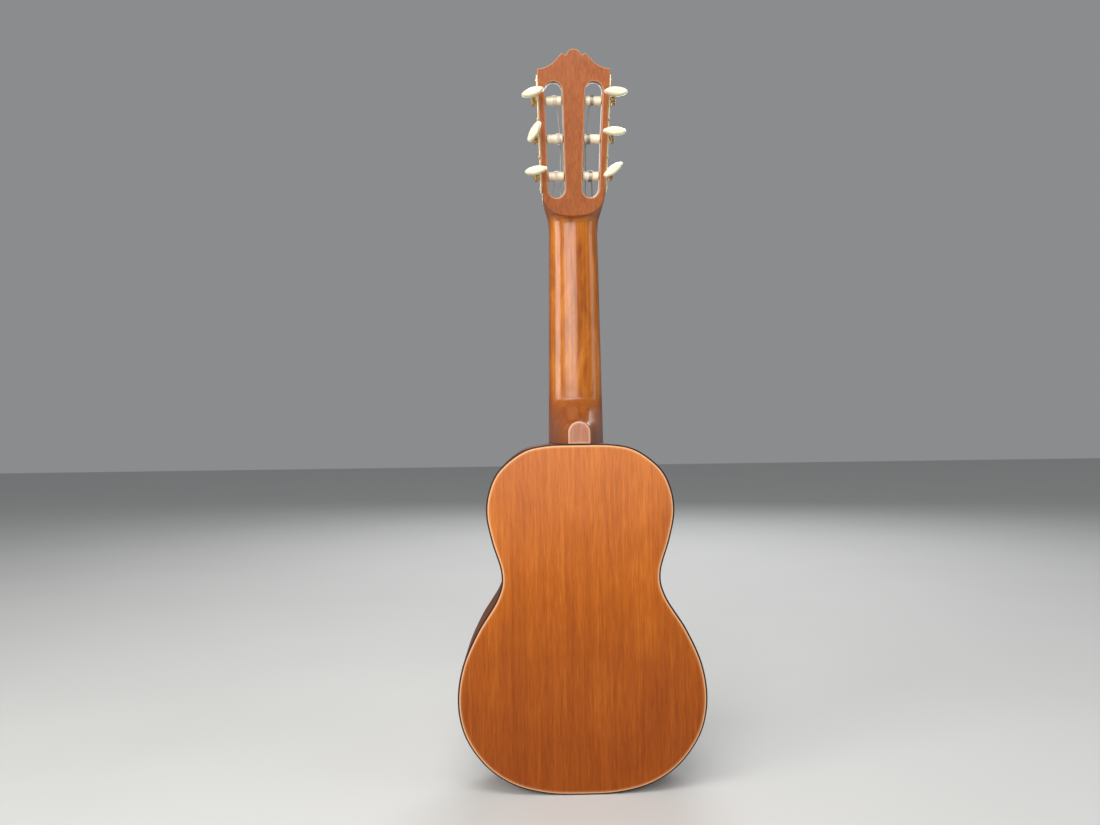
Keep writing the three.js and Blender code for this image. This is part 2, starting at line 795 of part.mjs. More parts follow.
// A string runs from the tie block over the saddle and the nut to the front of its roller
function makeString(name, side, i, radius) {
  const k = sign[side];
  const across = (2 * (2 - i) + 1) / 10;
  const saddleX = k * stringSpreadSaddle * across;
  const nutX = k * stringSpreadNut * across;
  const overSaddle = topZ + saddleTop + seam + radius;
  const overNut = topZ + fingerboardThickness + nutProud + seam + radius;
  const frame = headFrame.matrix.clone().multiply(sides[side].matrix);
  const onRoller = new THREE.Vector3(
    -k * windingInset[i],
    rollerPlaces[i],
    rollerRadius - rollerDepth + fitGap + radius,
  ).applyMatrix4(frame);
  const route = [
    new THREE.Vector3(saddleX, tieEdgeY, topZ + tieHoleHeight),
    new THREE.Vector3(saddleX, saddleY - saddleWidth / 2 - seam, overSaddle),
    new THREE.Vector3(saddleX, saddleY + saddleWidth / 2, overSaddle),
    new THREE.Vector3(nutX, nutY, overNut),
    new THREE.Vector3(nutX, nutY + nutThickness, overNut),
    onRoller,
  ];
  let line = solid(rod(route[0], route[1], radius, 8));
  for (let j = 1; j + 1 < route.length; j += 1) {
    line = line.add(solid(rod(route[j], route[j + 1], radius, 8)));
  }
  return named(name, geometryOf(line), side === "bass" ? woundString : nylon);
}

function makeStrings() {
  const strings = new THREE.Group();
  for (const side of ["bass", "treble"]) {
    stringRadii[side].forEach((radius, i) => {
      strings.add(makeString(`string_${side}_${i + 1}`, side, i, radius));
    });
  }
  return strings;
}

// ---------- the instrument ----------

const guitar = new THREE.Group();
guitar.rotation.x = Math.PI / 2;
guitar.add(
  makeBody(),
  makeBridge(),
  makeSaddle(),
  makeNeck(),
  makeHeelCap(),
  makeFingerboard(),
  makeNut(),
  makeHead(),
  makeStrings(),
);

export default guitar;
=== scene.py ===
from math import cos, pi, radians, sin, tan

import bpy
import numpy as np
from mathutils import Matrix, Vector


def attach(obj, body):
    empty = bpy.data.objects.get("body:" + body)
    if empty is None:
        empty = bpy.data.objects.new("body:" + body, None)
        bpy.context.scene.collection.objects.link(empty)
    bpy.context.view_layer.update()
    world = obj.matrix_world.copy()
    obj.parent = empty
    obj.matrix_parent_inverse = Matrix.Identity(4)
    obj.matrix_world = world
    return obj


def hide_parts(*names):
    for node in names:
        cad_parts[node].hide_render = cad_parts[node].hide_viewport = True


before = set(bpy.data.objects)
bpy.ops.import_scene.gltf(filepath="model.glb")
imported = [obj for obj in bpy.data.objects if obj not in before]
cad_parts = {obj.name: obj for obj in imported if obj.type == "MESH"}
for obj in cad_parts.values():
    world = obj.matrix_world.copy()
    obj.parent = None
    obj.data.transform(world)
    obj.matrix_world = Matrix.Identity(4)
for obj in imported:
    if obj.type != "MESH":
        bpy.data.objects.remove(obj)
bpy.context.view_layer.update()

# Shapes are worked out in millimetres, in plan, as if the guitar lay on its back:
# x across to the treble side, y from the tail to the head, z towards the player.

general = {                 # millimetres and degrees
    "bodyDepth": 70.0,
    "plate": 2.5,
    "binding": 1.4,
    "rib": 2.0,
    "scale": 433.0,
    "nutY": 537.5,
    "boardThick": 5.0,
    "headAngle": 15.2,
    "headThick": 18.0,
}
topZ = general["bodyDepth"] / 2
backZ = -topZ


cameraPlace = {
    "spot": (0.0383, 0.7939, 0.3391),   # metres
    "yaw": -0.871,                      # degrees
    "pitch": -0.834,
    "roll": -0.754,
    "lens": 27.03,                      # on a 36 mm sensor
}


def addCamera(v):
    # Looks along -Y, turned by yaw about Z, by pitch about X, then rolled in its own plane
    yaw, pitch, roll = (radians(v[k]) for k in ("yaw", "pitch", "roll"))
    turn = np.array([[cos(yaw), sin(yaw), 0], [-sin(yaw), cos(yaw), 0], [0, 0, 1]])
    nod = np.array([[1, 0, 0], [0, cos(pitch), sin(pitch)], [0, -sin(pitch), cos(pitch)]])
    across, back, up = nod @ turn
    right = -cos(roll) * across + sin(roll) * up
    top = sin(roll) * across + cos(roll) * up
    data = bpy.data.cameras.new("camera")
    data.lens = v["lens"]
    data.sensor_width = 36
    data.clip_start = 0.01
    camera = bpy.data.objects.new("camera", data)
    axes = np.column_stack([right, top, back])
    camera.matrix_world = Matrix.Translation(v["spot"]) @ Matrix(axes.tolist()).to_4x4()
    bpy.context.scene.collection.objects.link(camera)
    bpy.context.scene.camera = camera


lights = {                  # places and sizes in metres, power in watts
    "window": {
        "spot": (1.55, 1.0, 0.80), "aim": (0, 0, 0.33), "size": (0.8, 1.4),
        "power": 18, "tint": (1, 0.97, 0.92),
    },
    "ceiling": {
        "spot": (0.32, 1.7, 0.98), "aim": (0, 0, 0.4), "size": (1.1, 1.1),
        "power": 18, "tint": (1, 0.97, 0.95),
    },
    "overhead": {
        "spot": (0.15, 0.62, 1.3), "aim": (0, 0.03, 0.5), "size": (0.9, 0.5),
        "power": 9, "tint": (1, 0.96, 0.92),
    },
    "side": {
        "spot": (-1.6, 0.7, 0.9), "aim": (0, 0, 0.35), "size": (0.5, 1.4),
        "power": 4, "tint": (0.96, 0.98, 1),
    },
    "front": {
        "spot": (-0.3, -1.8, 1.5), "aim": (0, 0, 0.3), "size": (1.4, 1.0),
        "power": 22, "tint": (1, 1, 1),
    },
}


def addLights(values):
    for name, v in values.items():
        data = bpy.data.lights.new(name, "AREA")
        data.shape = "RECTANGLE"
        data.size, data.size_y = v["size"]
        data.energy = v["power"]
        data.color = v["tint"]
        lamp = bpy.data.objects.new(name, data)
        lamp.location = v["spot"]
        lamp.rotation_euler = (Vector(v["aim"]) - Vector(v["spot"])).to_track_quat("-Z", "Y").to_euler()
        bpy.context.scene.collection.objects.link(lamp)


addCamera(cameraPlace)
addLights(lights)
bpy.context.scene.view_settings.view_transform = "Standard"
print("camera and lights are set")


class Wire:
    # A shader socket that sums can be written on
    def __init__(self, look, socket):
        self.look = look
        self.socket = socket

    def do(self, operation, *others):
        return self.look.math(operation, self, *others)

    def __add__(self, other):
        return self.look.math("ADD", self, other)

    def __sub__(self, other):
        return self.look.math("SUBTRACT", self, other)

    def __rsub__(self, other):
        return self.look.math("SUBTRACT", other, self)

    def __mul__(self, other):
        return self.look.math("MULTIPLY", self, other)

    def __truediv__(self, other):
        return self.look.math("DIVIDE", self, other)

    def __rtruediv__(self, other):
        return self.look.math("DIVIDE", other, self)

    def __pow__(self, other):
        return self.look.math("POWER", self, other)

    def __rpow__(self, other):
        return self.look.math("POWER", other, self)

    __radd__ = __add__
    __rmul__ = __mul__

    def between(self, low, high):
        # 0 below low, 1 above high, smooth in between
        sockets = {"Value": self, "From Min": low, "From Max": high}
        return self.look.node("MapRange", {"interpolation_type": "SMOOTHSTEP"}, sockets)


class Look:
    # One material, built from its nodes
    def __init__(self, name):
        self.material = bpy.data.materials.new(name)
        self.material.use_nodes = True
        self.tree = self.material.node_tree
        self.tree.nodes.clear()

    def node(self, kind, settings=None, sockets=None, output=0):
        made = self.tree.nodes.new("ShaderNode" + kind)
        for key, value in (settings or {}).items():
            if key == "stops":
                stops = made.color_ramp.elements
                for place, colour in value[1:-1]:
                    stops.new(place)
                for stop, (place, colour) in zip(stops, value):
                    stop.position = place
                    stop.color = (*colour, 1)
            else:
                setattr(made, key, value)
        for key, value in (sockets or {}).items():
            if isinstance(value, Wire):
                self.tree.links.new(value.socket, made.inputs[key])
            else:
                made.inputs[key].default_value = value
        return Wire(self, made.outputs[output] if made.outputs else None)

    def math(self, operation, *values):
        return self.node("Math", {"operation": operation}, dict(enumerate(values)))

    def place(self):
        # The point's place in the guitar's own frame, in metres
        return self.node("TexCoord", output="Object")

    def rim(self):
        # 1 along the edges that a mesh marks for a painted highlight, 0 elsewhere
        return self.node("Attribute", {"attribute_name": "rim"}, {}, output="Fac")

    def stretched(self, vector, scale, turn=(0, 0, 0), shift=(0, 0, 0)):
        sockets = {"Vector": vector, "Scale": scale, "Rotation": turn, "Location": shift}
        return self.node("Mapping", {}, sockets)

    def noise(self, vector, scale, detail=3.0, rough=0.55, wobble=0.0):
        sockets = {
            "Vector": vector, "Scale": scale, "Detail": detail, "Roughness": rough, "Distortion": wobble,
        }
        return self.node("TexNoise", {}, sockets)

    def mix(self, factor, a, b, blend="MIX"):
        a = (*a, 1) if isinstance(a, tuple) and len(a) == 3 else a
        b = (*b, 1) if isinstance(b, tuple) and len(b) == 3 else b
        settings = {"data_type": "RGBA", "blend_type": blend}
        return self.node("Mix", settings, {0: factor, 6: a, 7: b}, output=2)

    def ramp(self, factor, stops):
        return self.node("ValToRGB", {"stops": stops}, {0: factor})

    def bump(self, height, strength, distance):
        return self.node("Bump", {}, {"Height": height, "Strength": strength, "Distance": distance})

    def finish(self, sockets):
        self.node("OutputMaterial", {}, {"Surface": self.node("BsdfPrincipled", {}, sockets)})
        return self.material


backLook = {
    "light": (0.53, 0.155, 0.012),
    "middle": (0.40, 0.098, 0.005),
    "dark": (0.29, 0.062, 0.002),
    "pore": (0.17, 0.034, 0.003),
    "pores": 0.35,
    # painted highlight along the back's rounded edge
    "rim": (0.82, 0.50, 0.26),
    "paintedSheenAndShade": 0.9,            # painted sheen and shade: how much paler the upper bout and deeper the lower bout are painted
    "roughness": 0.36,
    "specular": 0.22,
}


def stainedVeneer(name, v, along=2):
    # Fine lines of light and dark along the grain, slow cloudy shade, and small pores that are rare
    # where the wood is pale
    look = Look(name)
    place = look.place()
    wide, thin, fine, short = ([size] * 3 for size in (70.0, 260.0, 950.0, 1500.0))
    wide[along], thin[along], fine[along], short[along] = 1.1, 9.0, 55.0, 130.0
    streaks = look.noise(look.stretched(place, wide), 1.0, 3.0, 0.55, 0.2)
    lines = look.noise(look.stretched(place, thin), 1.0, 4.0, 0.65, 0.2)
    hairs = look.noise(look.stretched(place, fine), 1.0, 3.0, 0.6)
    clouds = look.noise(place, 11.0, 3.0)
    shade = streaks * 0.22 + lines * 0.40 + hairs * 0.38 + clouds * 0.25 - 0.125
    colour = look.ramp(shade, [(0.33, v["dark"]), (0.5, v["middle"]), (0.66, v["light"])])
    pores = look.noise(look.stretched(place, short, shift=(3.1, 1.7, 0.4)), 1.0, 1.0).between(0.60, 0.74)
    pores = pores * lines.between(0.60, 0.40)
    colour = look.mix(pores * v["pores"], colour, v["pore"])
    # Painted light: the upper bout is made paler and the lower bout deeper, standing for the sheen from the
    # lamps above
    height = look.node("SeparateXYZ", {}, {0: place}, output="Z") + clouds * 0.04 - 0.02
    paintedSheenAndShade = v.get("paintedSheenAndShade", 0)
    colour = look.mix((1 - height.between(0.02, 0.27)) * paintedSheenAndShade, colour, (0.62, 0.50, 0.30), "MULTIPLY")
    colour = look.mix(height.between(0.17, 0.33) * paintedSheenAndShade, colour, (0.07, 0.045, 0.035), "ADD")
    rim = look.rim()
    # painted highlight: a paler colour and a lower roughness along the marked edges
    colour = look.mix(rim * 0.6, colour, v.get("rim", v["light"]))
    rough = v["roughness"] + lines * 0.16 + pores * 0.2 - rim * 0.1 - 0.08
    normal = look.bump(hairs * 0.6 + lines * 0.5 - pores * 0.5, 0.42, 0.0002)
    return look.finish({
        "Base Color": colour, "Roughness": rough, "Normal": normal,
        "Specular IOR Level": v.get("specular", 0.4),
    })


ribLook = {
    "light": (0.20, 0.056, 0.013),
    "middle": (0.13, 0.033, 0.007),
    "dark": (0.075, 0.017, 0.004),
    "pore": (0.05, 0.014, 0.004),
    "roughness": 0.52,
}
spruceLook = {"light": (0.74, 0.50, 0.25), "dark": (0.55, 0.32, 0.13), "ring": 0.0011, "roughness": 0.42}


def spruce(name, v):
    # Straight annual rings: a saw of narrow dark late wood every ring width, bent a little by noise
    look = Look(name)
    place = look.place()
    bend = look.noise(look.stretched(place, (30.0, 30.0, 2.0)), 1.0, 2.0)
    x = look.node("SeparateXYZ", {}, {0: place}, output="X")
    rings = (x / v["ring"] + bend * 3.0).do("FRACT")
    late = rings.between(0.45, 1.0)
    silk = look.noise(look.stretched(place, (260.0, 260.0, 40.0)), 1.0, 3.0)
    clouds = look.noise(place, 12.0, 3.0)
    shade = late * 0.5 + silk * 0.25 + clouds * 0.3 - 0.05
    colour = look.ramp(shade, [(0.15, v["light"]), (0.85, v["dark"])])
    normal = look.bump(late * 0.6 + silk * 0.4, 0.15, 0.0001)
    return look.finish({
        "Base Color": colour, "Roughness": v["roughness"] + silk * 0.1, "Normal": normal,
        "Coat Weight": 0.25, "Coat Roughness": 0.25,
    })


neckLook = {
    "light": (0.58, 0.225, 0.030),
    "middle": (0.38, 0.108, 0.008),
    "dark": (0.16, 0.034, 0.003),
    "headLight": (0.36, 0.104, 0.022),
    "headMiddle": (0.285, 0.074, 0.012),
    "headDark": (0.20, 0.046, 0.006),
    # painted highlight along the head's soft edges
    "rim": (0.72, 0.42, 0.22),
    # painted shade in the heel's and the throat's hollows, on the neck's sides and in the slots
    "stain": (0.20, 0.042, 0.004),
    "gloss": 0.17,
    "satin": 0.42,
}


def neckWood(name, v):
    # The neck: wavy figure under gloss. The head's flat faces, marked by the "satin" attribute: straight
    # grain under a satin finish.
    look = Look(name)
    place = look.place()
    satin = look.node("Attribute", {"attribute_name": "satin"}, {}, output="Fac")
    wave = look.noise(look.stretched(place, (34.0, 34.0, 5.0)), 1.0, 3.0, 0.55, 1.2)
    leaning = look.stretched(place, (60.0, 60.0, 16.0), turn=(0, radians(24), 0))
    figure = look.noise(leaning, 1.0, 4.0, 0.6, 1.6)
    hairs = look.noise(look.stretched(place, (600.0, 600.0, 6.0)), 1.0, 3.0)
    shade = wave * 0.45 + figure * 0.4 + hairs * 0.25 - 0.05
    glossy = look.ramp(shade, [(0.36, v["dark"]), (0.52, v["middle"]), (0.70, v["light"])])
    # painted shade: darker and less glossy where the mesh marks hollows, sides and slot walls
    stain = look.node("Attribute", {"attribute_name": "stain"}, {}, output="Fac")
    glossy = look.mix(stain * 0.85, glossy, v["stain"])
    streaks = look.noise(look.stretched(place, (230.0, 230.0, 3.5)), 1.0, 4.0, 0.6, 0.15)
    straight = streaks * 0.45 + hairs * 0.55
    flat = look.ramp(straight, [(0.30, v["headDark"]), (0.5, v["headMiddle"]), (0.72, v["headLight"])])
    pores = look.noise(look.stretched(place, (900.0, 900.0, 50.0)), 1.0, 1.0).between(0.62, 0.74)
    flat = look.mix(pores * 0.5, flat, v["headDark"])
    colour = look.mix(satin, glossy, flat)
    rim = look.rim()
    # painted highlight along the marked edges
    colour = look.mix(rim * 0.5, colour, v["rim"])
    rough = v["gloss"] + satin * (v["satin"] - v["gloss"]) + hairs * 0.06 + stain * 0.22
    normal = look.bump(hairs * 0.4 - pores * 0.6, 0.16, 0.00015)
    return look.finish({
        "Base Color": colour, "Roughness": rough, "Normal": normal,
        "Coat Weight": 0.42 - satin * 0.38 - stain * 0.34, "Coat Roughness": 0.08, "Specular IOR Level": 0.4,
    })


darkLook = {
    "light": (0.105, 0.058, 0.036),
    "middle": (0.060, 0.032, 0.021),
    "dark": (0.028, 0.015, 0.011),
    "pore": (0.010, 0.006, 0.005),
    "roughness": 0.46,
    "pores": 0.6,
}
capLook = {
    "light": (0.42, 0.190, 0.112),
    "middle": (0.35, 0.145, 0.082),
    "dark": (0.27, 0.100, 0.052),
    "pore": (0.17, 0.060, 0.030),
    # painted highlight along the cap's rounded edge
    "rim": (0.70, 0.44, 0.30),
    "roughness": 0.42,
    "pores": 0.6,
}
plainLook = {
    "light": (0.62, 0.42, 0.23),
    "middle": (0.55, 0.36, 0.19),
    "dark": (0.42, 0.25, 0.12),
    "pore": (0.30, 0.17, 0.08),
    "roughness": 0.75,
    "pores": 0.6,
}

veneer = stainedVeneer("backVeneer", backLook)
darkWood = stainedVeneer("darkWood", darkLook)
bridgeWood = stainedVeneer("bridgeWood", darkLook, along=0)
capWood = stainedVeneer("capWood", capLook)
innerWood = stainedVeneer("innerWood", plainLook)
topWood = spruce("topSpruce", spruceLook)
neckFinish = neckWood("neckWood", neckLook)


def ribVeneer(name, v):
    # Like the back, but the grain follows the bend: it reads the piece's own UV, in metres
    look = Look(name)
    along = look.node("TexCoord", output="UV")
    streaks = look.noise(look.stretched(along, (3.0, 120.0, 1.0)), 1.0, 4.0, 0.6, 0.3)
    hairs = look.noise(look.stretched(along, (16.0, 600.0, 1.0)), 1.0, 3.0)
    shade = streaks * 0.6 + hairs * 0.4
    colour = look.ramp(shade, [(0.36, v["dark"]), (0.5, v["middle"]), (0.66, v["light"])])
    pores = look.noise(look.stretched(along, (50.0, 900.0, 1.0)), 1.0, 1.0).between(0.60, 0.72)
    colour = look.mix(pores * 0.7, colour, v["pore"])
    normal = look.bump(hairs * 0.3 - pores, 0.22, 0.0002)
    return look.finish({
        "Base Color": colour, "Roughness": v["roughness"] + streaks * 0.12, "Normal": normal,
        "Specular IOR Level": 0.12,
    })


ribWood = ribVeneer("ribVeneer", ribLook)


def moulded(name, colour, shade, roughness, coat=0.3, specular=0.5):
    # Cast plastic: faint clouds in the colour, a slightly uneven gloss and fine handling marks
    look = Look(name)
    place = look.place()
    clouds = look.noise(place, 160.0, 3.0)
    marks = look.noise(look.stretched(place, (900.0, 500.0, 700.0)), 1.0, 3.0)
    body = look.mix(clouds.between(0.35, 0.7), colour, shade)
    rough = roughness + marks * 0.14 - 0.05
    normal = look.bump(clouds * 0.6 + marks * 0.4, 0.10, 0.0001)
    return look.finish({
        "Base Color": body, "Roughness": rough, "Normal": normal,
        "Coat Weight": coat, "Coat Roughness": 0.12, "Specular IOR Level": specular,
    })


def plated(name, bright, dull, roughness):
    # Plated metal: brushed lines, and a duller tarnish in patches
    look = Look(name)
    place = look.place()
    patches = look.noise(place, 240.0, 4.0).between(0.45, 0.75)
    brushed = look.noise(look.stretched(place, (1500.0, 1500.0, 120.0)), 1.0, 2.0)
    colour = look.mix(patches * 0.7, bright, dull)
    rough = roughness + patches * 0.18 + brushed * 0.08
    normal = look.bump(brushed, 0.10, 0.00005)
    return look.finish({"Base Color": colour, "Roughness": rough, "Metallic": 1.0, "Normal": normal})


buttonPlastic = moulded("buttonPlastic", (0.84, 0.78, 0.55), (0.78, 0.70, 0.46), 0.24, 0.5)
rollerPlastic = moulded("rollerPlastic", (0.80, 0.71, 0.54), (0.72, 0.61, 0.43), 0.34, 0.2)
nutPlastic = moulded("nutPlastic", (0.82, 0.78, 0.66), (0.76, 0.70, 0.57), 0.34, 0.2)
blackPlastic = moulded("blackBinding", (0.012, 0.006, 0.005), (0.024, 0.010, 0.008), 0.38, 0.0, 0.2)
plateBrass = plated("plateBrass", (0.84, 0.72, 0.46), (0.55, 0.42, 0.22), 0.26)
wormBrass = plated("wormBrass", (0.46, 0.30, 0.12), (0.20, 0.12, 0.05), 0.24)
fretMetal = plated("fretMetal", (0.66, 0.65, 0.62), (0.48, 0.46, 0.43), 0.24)


def nylonLook(name):
    # Clear nylon looks milky: pale, glossy, with a faint change along its length
    look = Look(name)
    cloud = look.noise(look.place(), 90.0, 3.0)
    colour = look.mix(cloud, (0.72, 0.67, 0.56), (0.60, 0.54, 0.43))
    grain = look.noise(look.place(), 2500.0, 2.0)
    return look.finish({
        "Base Color": colour, "Roughness": 0.18 + cloud * 0.1, "Coat Weight": 0.4, "Coat Roughness": 0.08,
        "Normal": look.bump(grain, 0.08, 0.00003),
    })


def woundLook(name):
    # Fine round wire wound on silk: the UV runs in metres along the string, and each turn is a ridge
    look = Look(name)
    run = look.node("SeparateXYZ", {}, {0: look.node("TexCoord", output="UV")}, output="X")
    turns = (run * (2 * pi / 0.00022)).do("SINE")
    tarnish = look.noise(look.place(), 300.0, 3.0)
    colour = look.mix(tarnish, (0.66, 0.63, 0.58), (0.40, 0.36, 0.31))
    return look.finish({
        "Base Color": colour, "Metallic": 0.9, "Roughness": 0.30 + tarnish * 0.15,
        "Normal": look.bump(turns, 0.25, 0.00003),
    })


def rosetteLook(name, centreZ):
    # Rings about the soundhole: dark lines, and a band of small tiles that alternate round the ring
    look = Look(name)
    place = look.place()
    x = look.node("SeparateXYZ", {}, {0: place}, output="X")
    z = look.node("SeparateXYZ", {}, {0: place}, output="Z") - centreZ
    radius = (x * x + z * z) ** 0.5
    angle = x.do("ARCTAN2", z)
    tiles = (angle * 48.0).do("SINE")
    rows = (radius * (pi / 0.0009)).do("SINE")
    chequer = (tiles * rows).between(-0.25, 0.25)
    band = radius.between(0.0390, 0.0391) * (1 - radius.between(0.0424, 0.0425))
    lines = (radius * (2 * pi / 0.0011)).do("SINE").between(0.2, 0.6)
    edge = look.mix(lines, (0.055, 0.026, 0.013), (0.50, 0.33, 0.16))
    middle = look.mix(chequer, (0.26, 0.10, 0.035), (0.58, 0.41, 0.20))
    grain = look.noise(look.stretched(place, (500.0, 500.0, 40.0)), 1.0, 3.0)
    colour = look.mix(band, edge, middle)
    colour = look.mix(grain * 0.4, colour, (0.20, 0.10, 0.04))
    return look.finish({
        "Base Color": colour, "Roughness": 0.38 + grain * 0.1, "Coat Weight": 0.25, "Coat Roughness": 0.22,
        "Normal": look.bump(grain, 0.10, 0.0001),
    })


nylon = nylonLook("nylon")
wound = woundLook("woundString")
print("finishes are made")


def inRow(points):
    # Plan millimetres to the row frame in metres: (x, y, z) becomes (x, -z, y)
    points = np.asarray(points, float)
    return np.stack([points[..., 0], -points[..., 2], points[..., 1]], -1) / 1000


def circle(count):
    # Angles even round a turn, from 0
    return np.linspace(0, 2 * pi, count, endpoint=False)


def stacked(x, y, z):
    # Points from three arrays that are spread over each other's missing rows and columns
    return np.stack(np.broadcast_arrays(x, y, z), -1)


def withHeight(flat, z):
    # Flat points lifted to the height z
    return stacked(flat[..., 0], flat[..., 1], z)


def gridFaces(rows, columns, closeRows, closeColumns):
    # One quad between each point of a grid and its neighbours along the row and the column
    i = np.arange(rows if closeRows else rows - 1)[:, None]
    j = np.arange(columns if closeColumns else columns - 1)[None, :]
    here, right = i * columns + j, i * columns + (j + 1) % columns
    below, belowRight = ((i + 1) % rows) * columns + j, ((i + 1) % rows) * columns + (j + 1) % columns
    return np.stack([here, right, belowRight, below], -1).reshape(-1, 4)


def signedVolume(points, faces):
    # Sum of the tetrahedra from the origin to each fan triangle
    total = 0.0
    for size in {len(f) for f in faces}:
        block = points[np.array([f for f in faces if len(f) == size])]
        for k in range(1, size - 1):
            total += np.einsum("ij,ij->i", block[:, 0], np.cross(block[:, k], block[:, k + 1])).sum()
    return total


def addPiece(name, points, faces, finish, body, replaced=(), sharp=50, uv=None, marks=None):
    # A mesh from plan points, its faces turned outwards. Edges over the sharp angle stay crisp; uv and
    # marks hold a value for each point.
    points, faces = turnedOut(inRow(points).reshape(-1, 3), [tuple(int(k) for k in f) for f in faces])
    mesh = bpy.data.meshes.new(name)
    mesh.from_pydata(points.tolist(), [], faces)
    if uv is not None:
        corners = np.zeros(len(mesh.loops), np.int32)
        mesh.loops.foreach_get("vertex_index", corners)
        layer = mesh.uv_layers.new(name="along")
        layer.data.foreach_set("uv", np.asarray(uv, np.float32).reshape(-1, 2)[corners].ravel())
    for word, values in (marks or {}).items():
        made = mesh.attributes.new(word, "FLOAT", "POINT")
        made.data.foreach_set("value", np.asarray(values, np.float32).ravel())
    mesh.shade_smooth()
    mesh.set_sharp_from_angle(angle=radians(sharp))
    mesh.materials.append(finish)
    mesh.update()
    piece = bpy.data.objects.new(name, mesh)
    bpy.context.scene.collection.objects.link(piece)
    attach(piece, body)
    if replaced:
        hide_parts(*replaced)
    return piece


def joined(parts):
    # Several (points, faces) solids as one list of points and one of faces
    points, faces, start = [], [], 0
    for p, f in parts:
        p = np.asarray(p, float).reshape(-1, 3)
        points.append(p)
        faces += [tuple(int(k) + start for k in face) for face in f]
        start += len(p)
    return np.concatenate(points), faces


def turnedOut(points, faces):
    # The same solid with its faces pointing outwards
    flat = np.asarray(points, float).reshape(-1, 3)
    return (flat, faces) if signedVolume(flat, faces) > 0 else (flat, [tuple(f)[::-1] for f in faces])


def capped(rings):
    # A skin over rings of points with a flat face at each end
    rows, columns = rings.shape[:2]
    faces = [tuple(f) for f in gridFaces(rows, columns, False, True)]
    faces.append(tuple(range(columns))[::-1])
    faces.append(tuple(range((rows - 1) * columns, rows * columns)))
    return rings.reshape(-1, 3), faces


def smoothed(x):
    # 0 below 0, 1 above 1, and three squares less two cubes between
    x = np.clip(x, 0, 1)
    return x * x * (3 - 2 * x)


def through(points, count):
    # A smooth line through the points: each span is the cubic whose end slopes are half the step
    # between its neighbours, and the count samples are even in the points' own number
    points = np.asarray(points, float)
    wide = np.concatenate([2 * points[:1] - points[1:2], points, 2 * points[-1:] - points[-2:-1]])
    q = np.linspace(0, len(points) - 1, count)
    i = np.minimum(q.astype(int), len(points) - 2)
    return cubic(wide, i, (q - i)[:, None])


def cubic(wide, i, t):
    # The cubic from the points i + 1 to i + 2, at the share t of the way
    a, b, c, d = wide[i], wide[i + 1], wide[i + 2], wide[i + 3]
    return 0.5 * (2 * b + (c - a) * t + (2 * a - 5 * b + 4 * c - d) * t**2 + (3 * b - a - 3 * c + d) * t**3)


def tube(line, radius, sides):
    # Circles carried along a line. Each frame is the last one turned as little as the line bends.
    line = np.asarray(line, float)
    step = np.gradient(line, axis=0)
    step /= np.linalg.norm(step, axis=1, keepdims=True)
    side = np.cross(step[0], (0.31, 0.52, 0.79))
    sideways = []
    for direction in step:
        side = side - direction * (side @ direction)
        side = side / np.linalg.norm(side)
        sideways.append(side)
    sideways = np.array(sideways)
    lift = np.cross(step, sideways)
    turn = circle(sides)
    radius = np.broadcast_to(radius, len(line))[:, None, None]
    ring = sideways[:, None] * np.cos(turn)[None, :, None] + lift[:, None] * np.sin(turn)[None, :, None]
    return line[:, None] + ring * radius


def distance(line):
    # How far along the line each of its points is, in metres
    return np.concatenate([[0], np.cumsum(np.linalg.norm(np.diff(line, axis=0), axis=1))]) / 1000


def tubeUv(line, sides):
    # Metres along the line, and the share of the way round
    return np.stack(np.meshgrid(distance(line), circle(sides) / (2 * pi), indexing="ij"), -1)


bodyShape = {
    "halfOutline": [
        (0, 0), (33.8, 1.6), (64.5, 10), (89.3, 27.1), (108, 53.9), (114.6, 84.6), (110.2, 117.4),
        (96.3, 149.4), (77.6, 179.9), (73.3, 202), (81.9, 232.1), (86.7, 256.6), (84.2, 278.1),
        (74.6, 297.5), (53.8, 314.2), (32.2, 320.1), (0, 321),
    ],
    "steps": 14,            # points on each span of the outline
    "tailStrip": 7.0,
    "edgeRound": 1.5,
    "edgeDrop": 0.55,
    "soundholeY": 216.0,
    "soundholeRadius": 34.0,
    "rosette": (37.5, 44.0),
}


def bodyOutline(v):
    # The closed smooth line through the half outline and its mirror, with its inward normals
    half = np.array(v["halfOutline"], float)
    points = np.concatenate([half, (half * (-1, 1))[-2:0:-1]])
    wide = np.concatenate([points[-1:], points, points[:2]])
    steps = v["steps"]
    i = np.repeat(np.arange(len(points)), steps)
    t = np.tile(np.arange(steps) / steps, len(points))[:, None]
    line = cubic(wide, i, t)
    line[:, 0] = np.clip(line[:, 0], -half[:, 0].max(), half[:, 0].max())
    line[:, 1] = np.clip(line[:, 1], half[0, 1], half[-1, 1])
    along = np.roll(line, -1, axis=0) - np.roll(line, 1, axis=0)
    along /= np.linalg.norm(along, axis=1, keepdims=True)
    return line, np.stack([-along[:, 1], along[:, 0]], -1)


outline, inward = bodyOutline(bodyShape)


def aroundBody(profile, part=slice(None)):
    # A profile of (inset, height) carried along the outline
    profile = np.asarray(profile, float)
    flat = outline[part][None] + inward[part][None] * profile[:, 0][:, None, None]
    return withHeight(flat, profile[:, 1:])


def roundEdge(inset, height, radius, drop):
    # A quarter of an ellipse from the flat face down to the side
    turn = np.linspace(0, pi / 2, 6)
    return [(inset + radius * (1 - sin(a)), height - drop * (1 - cos(a))) for a in turn]


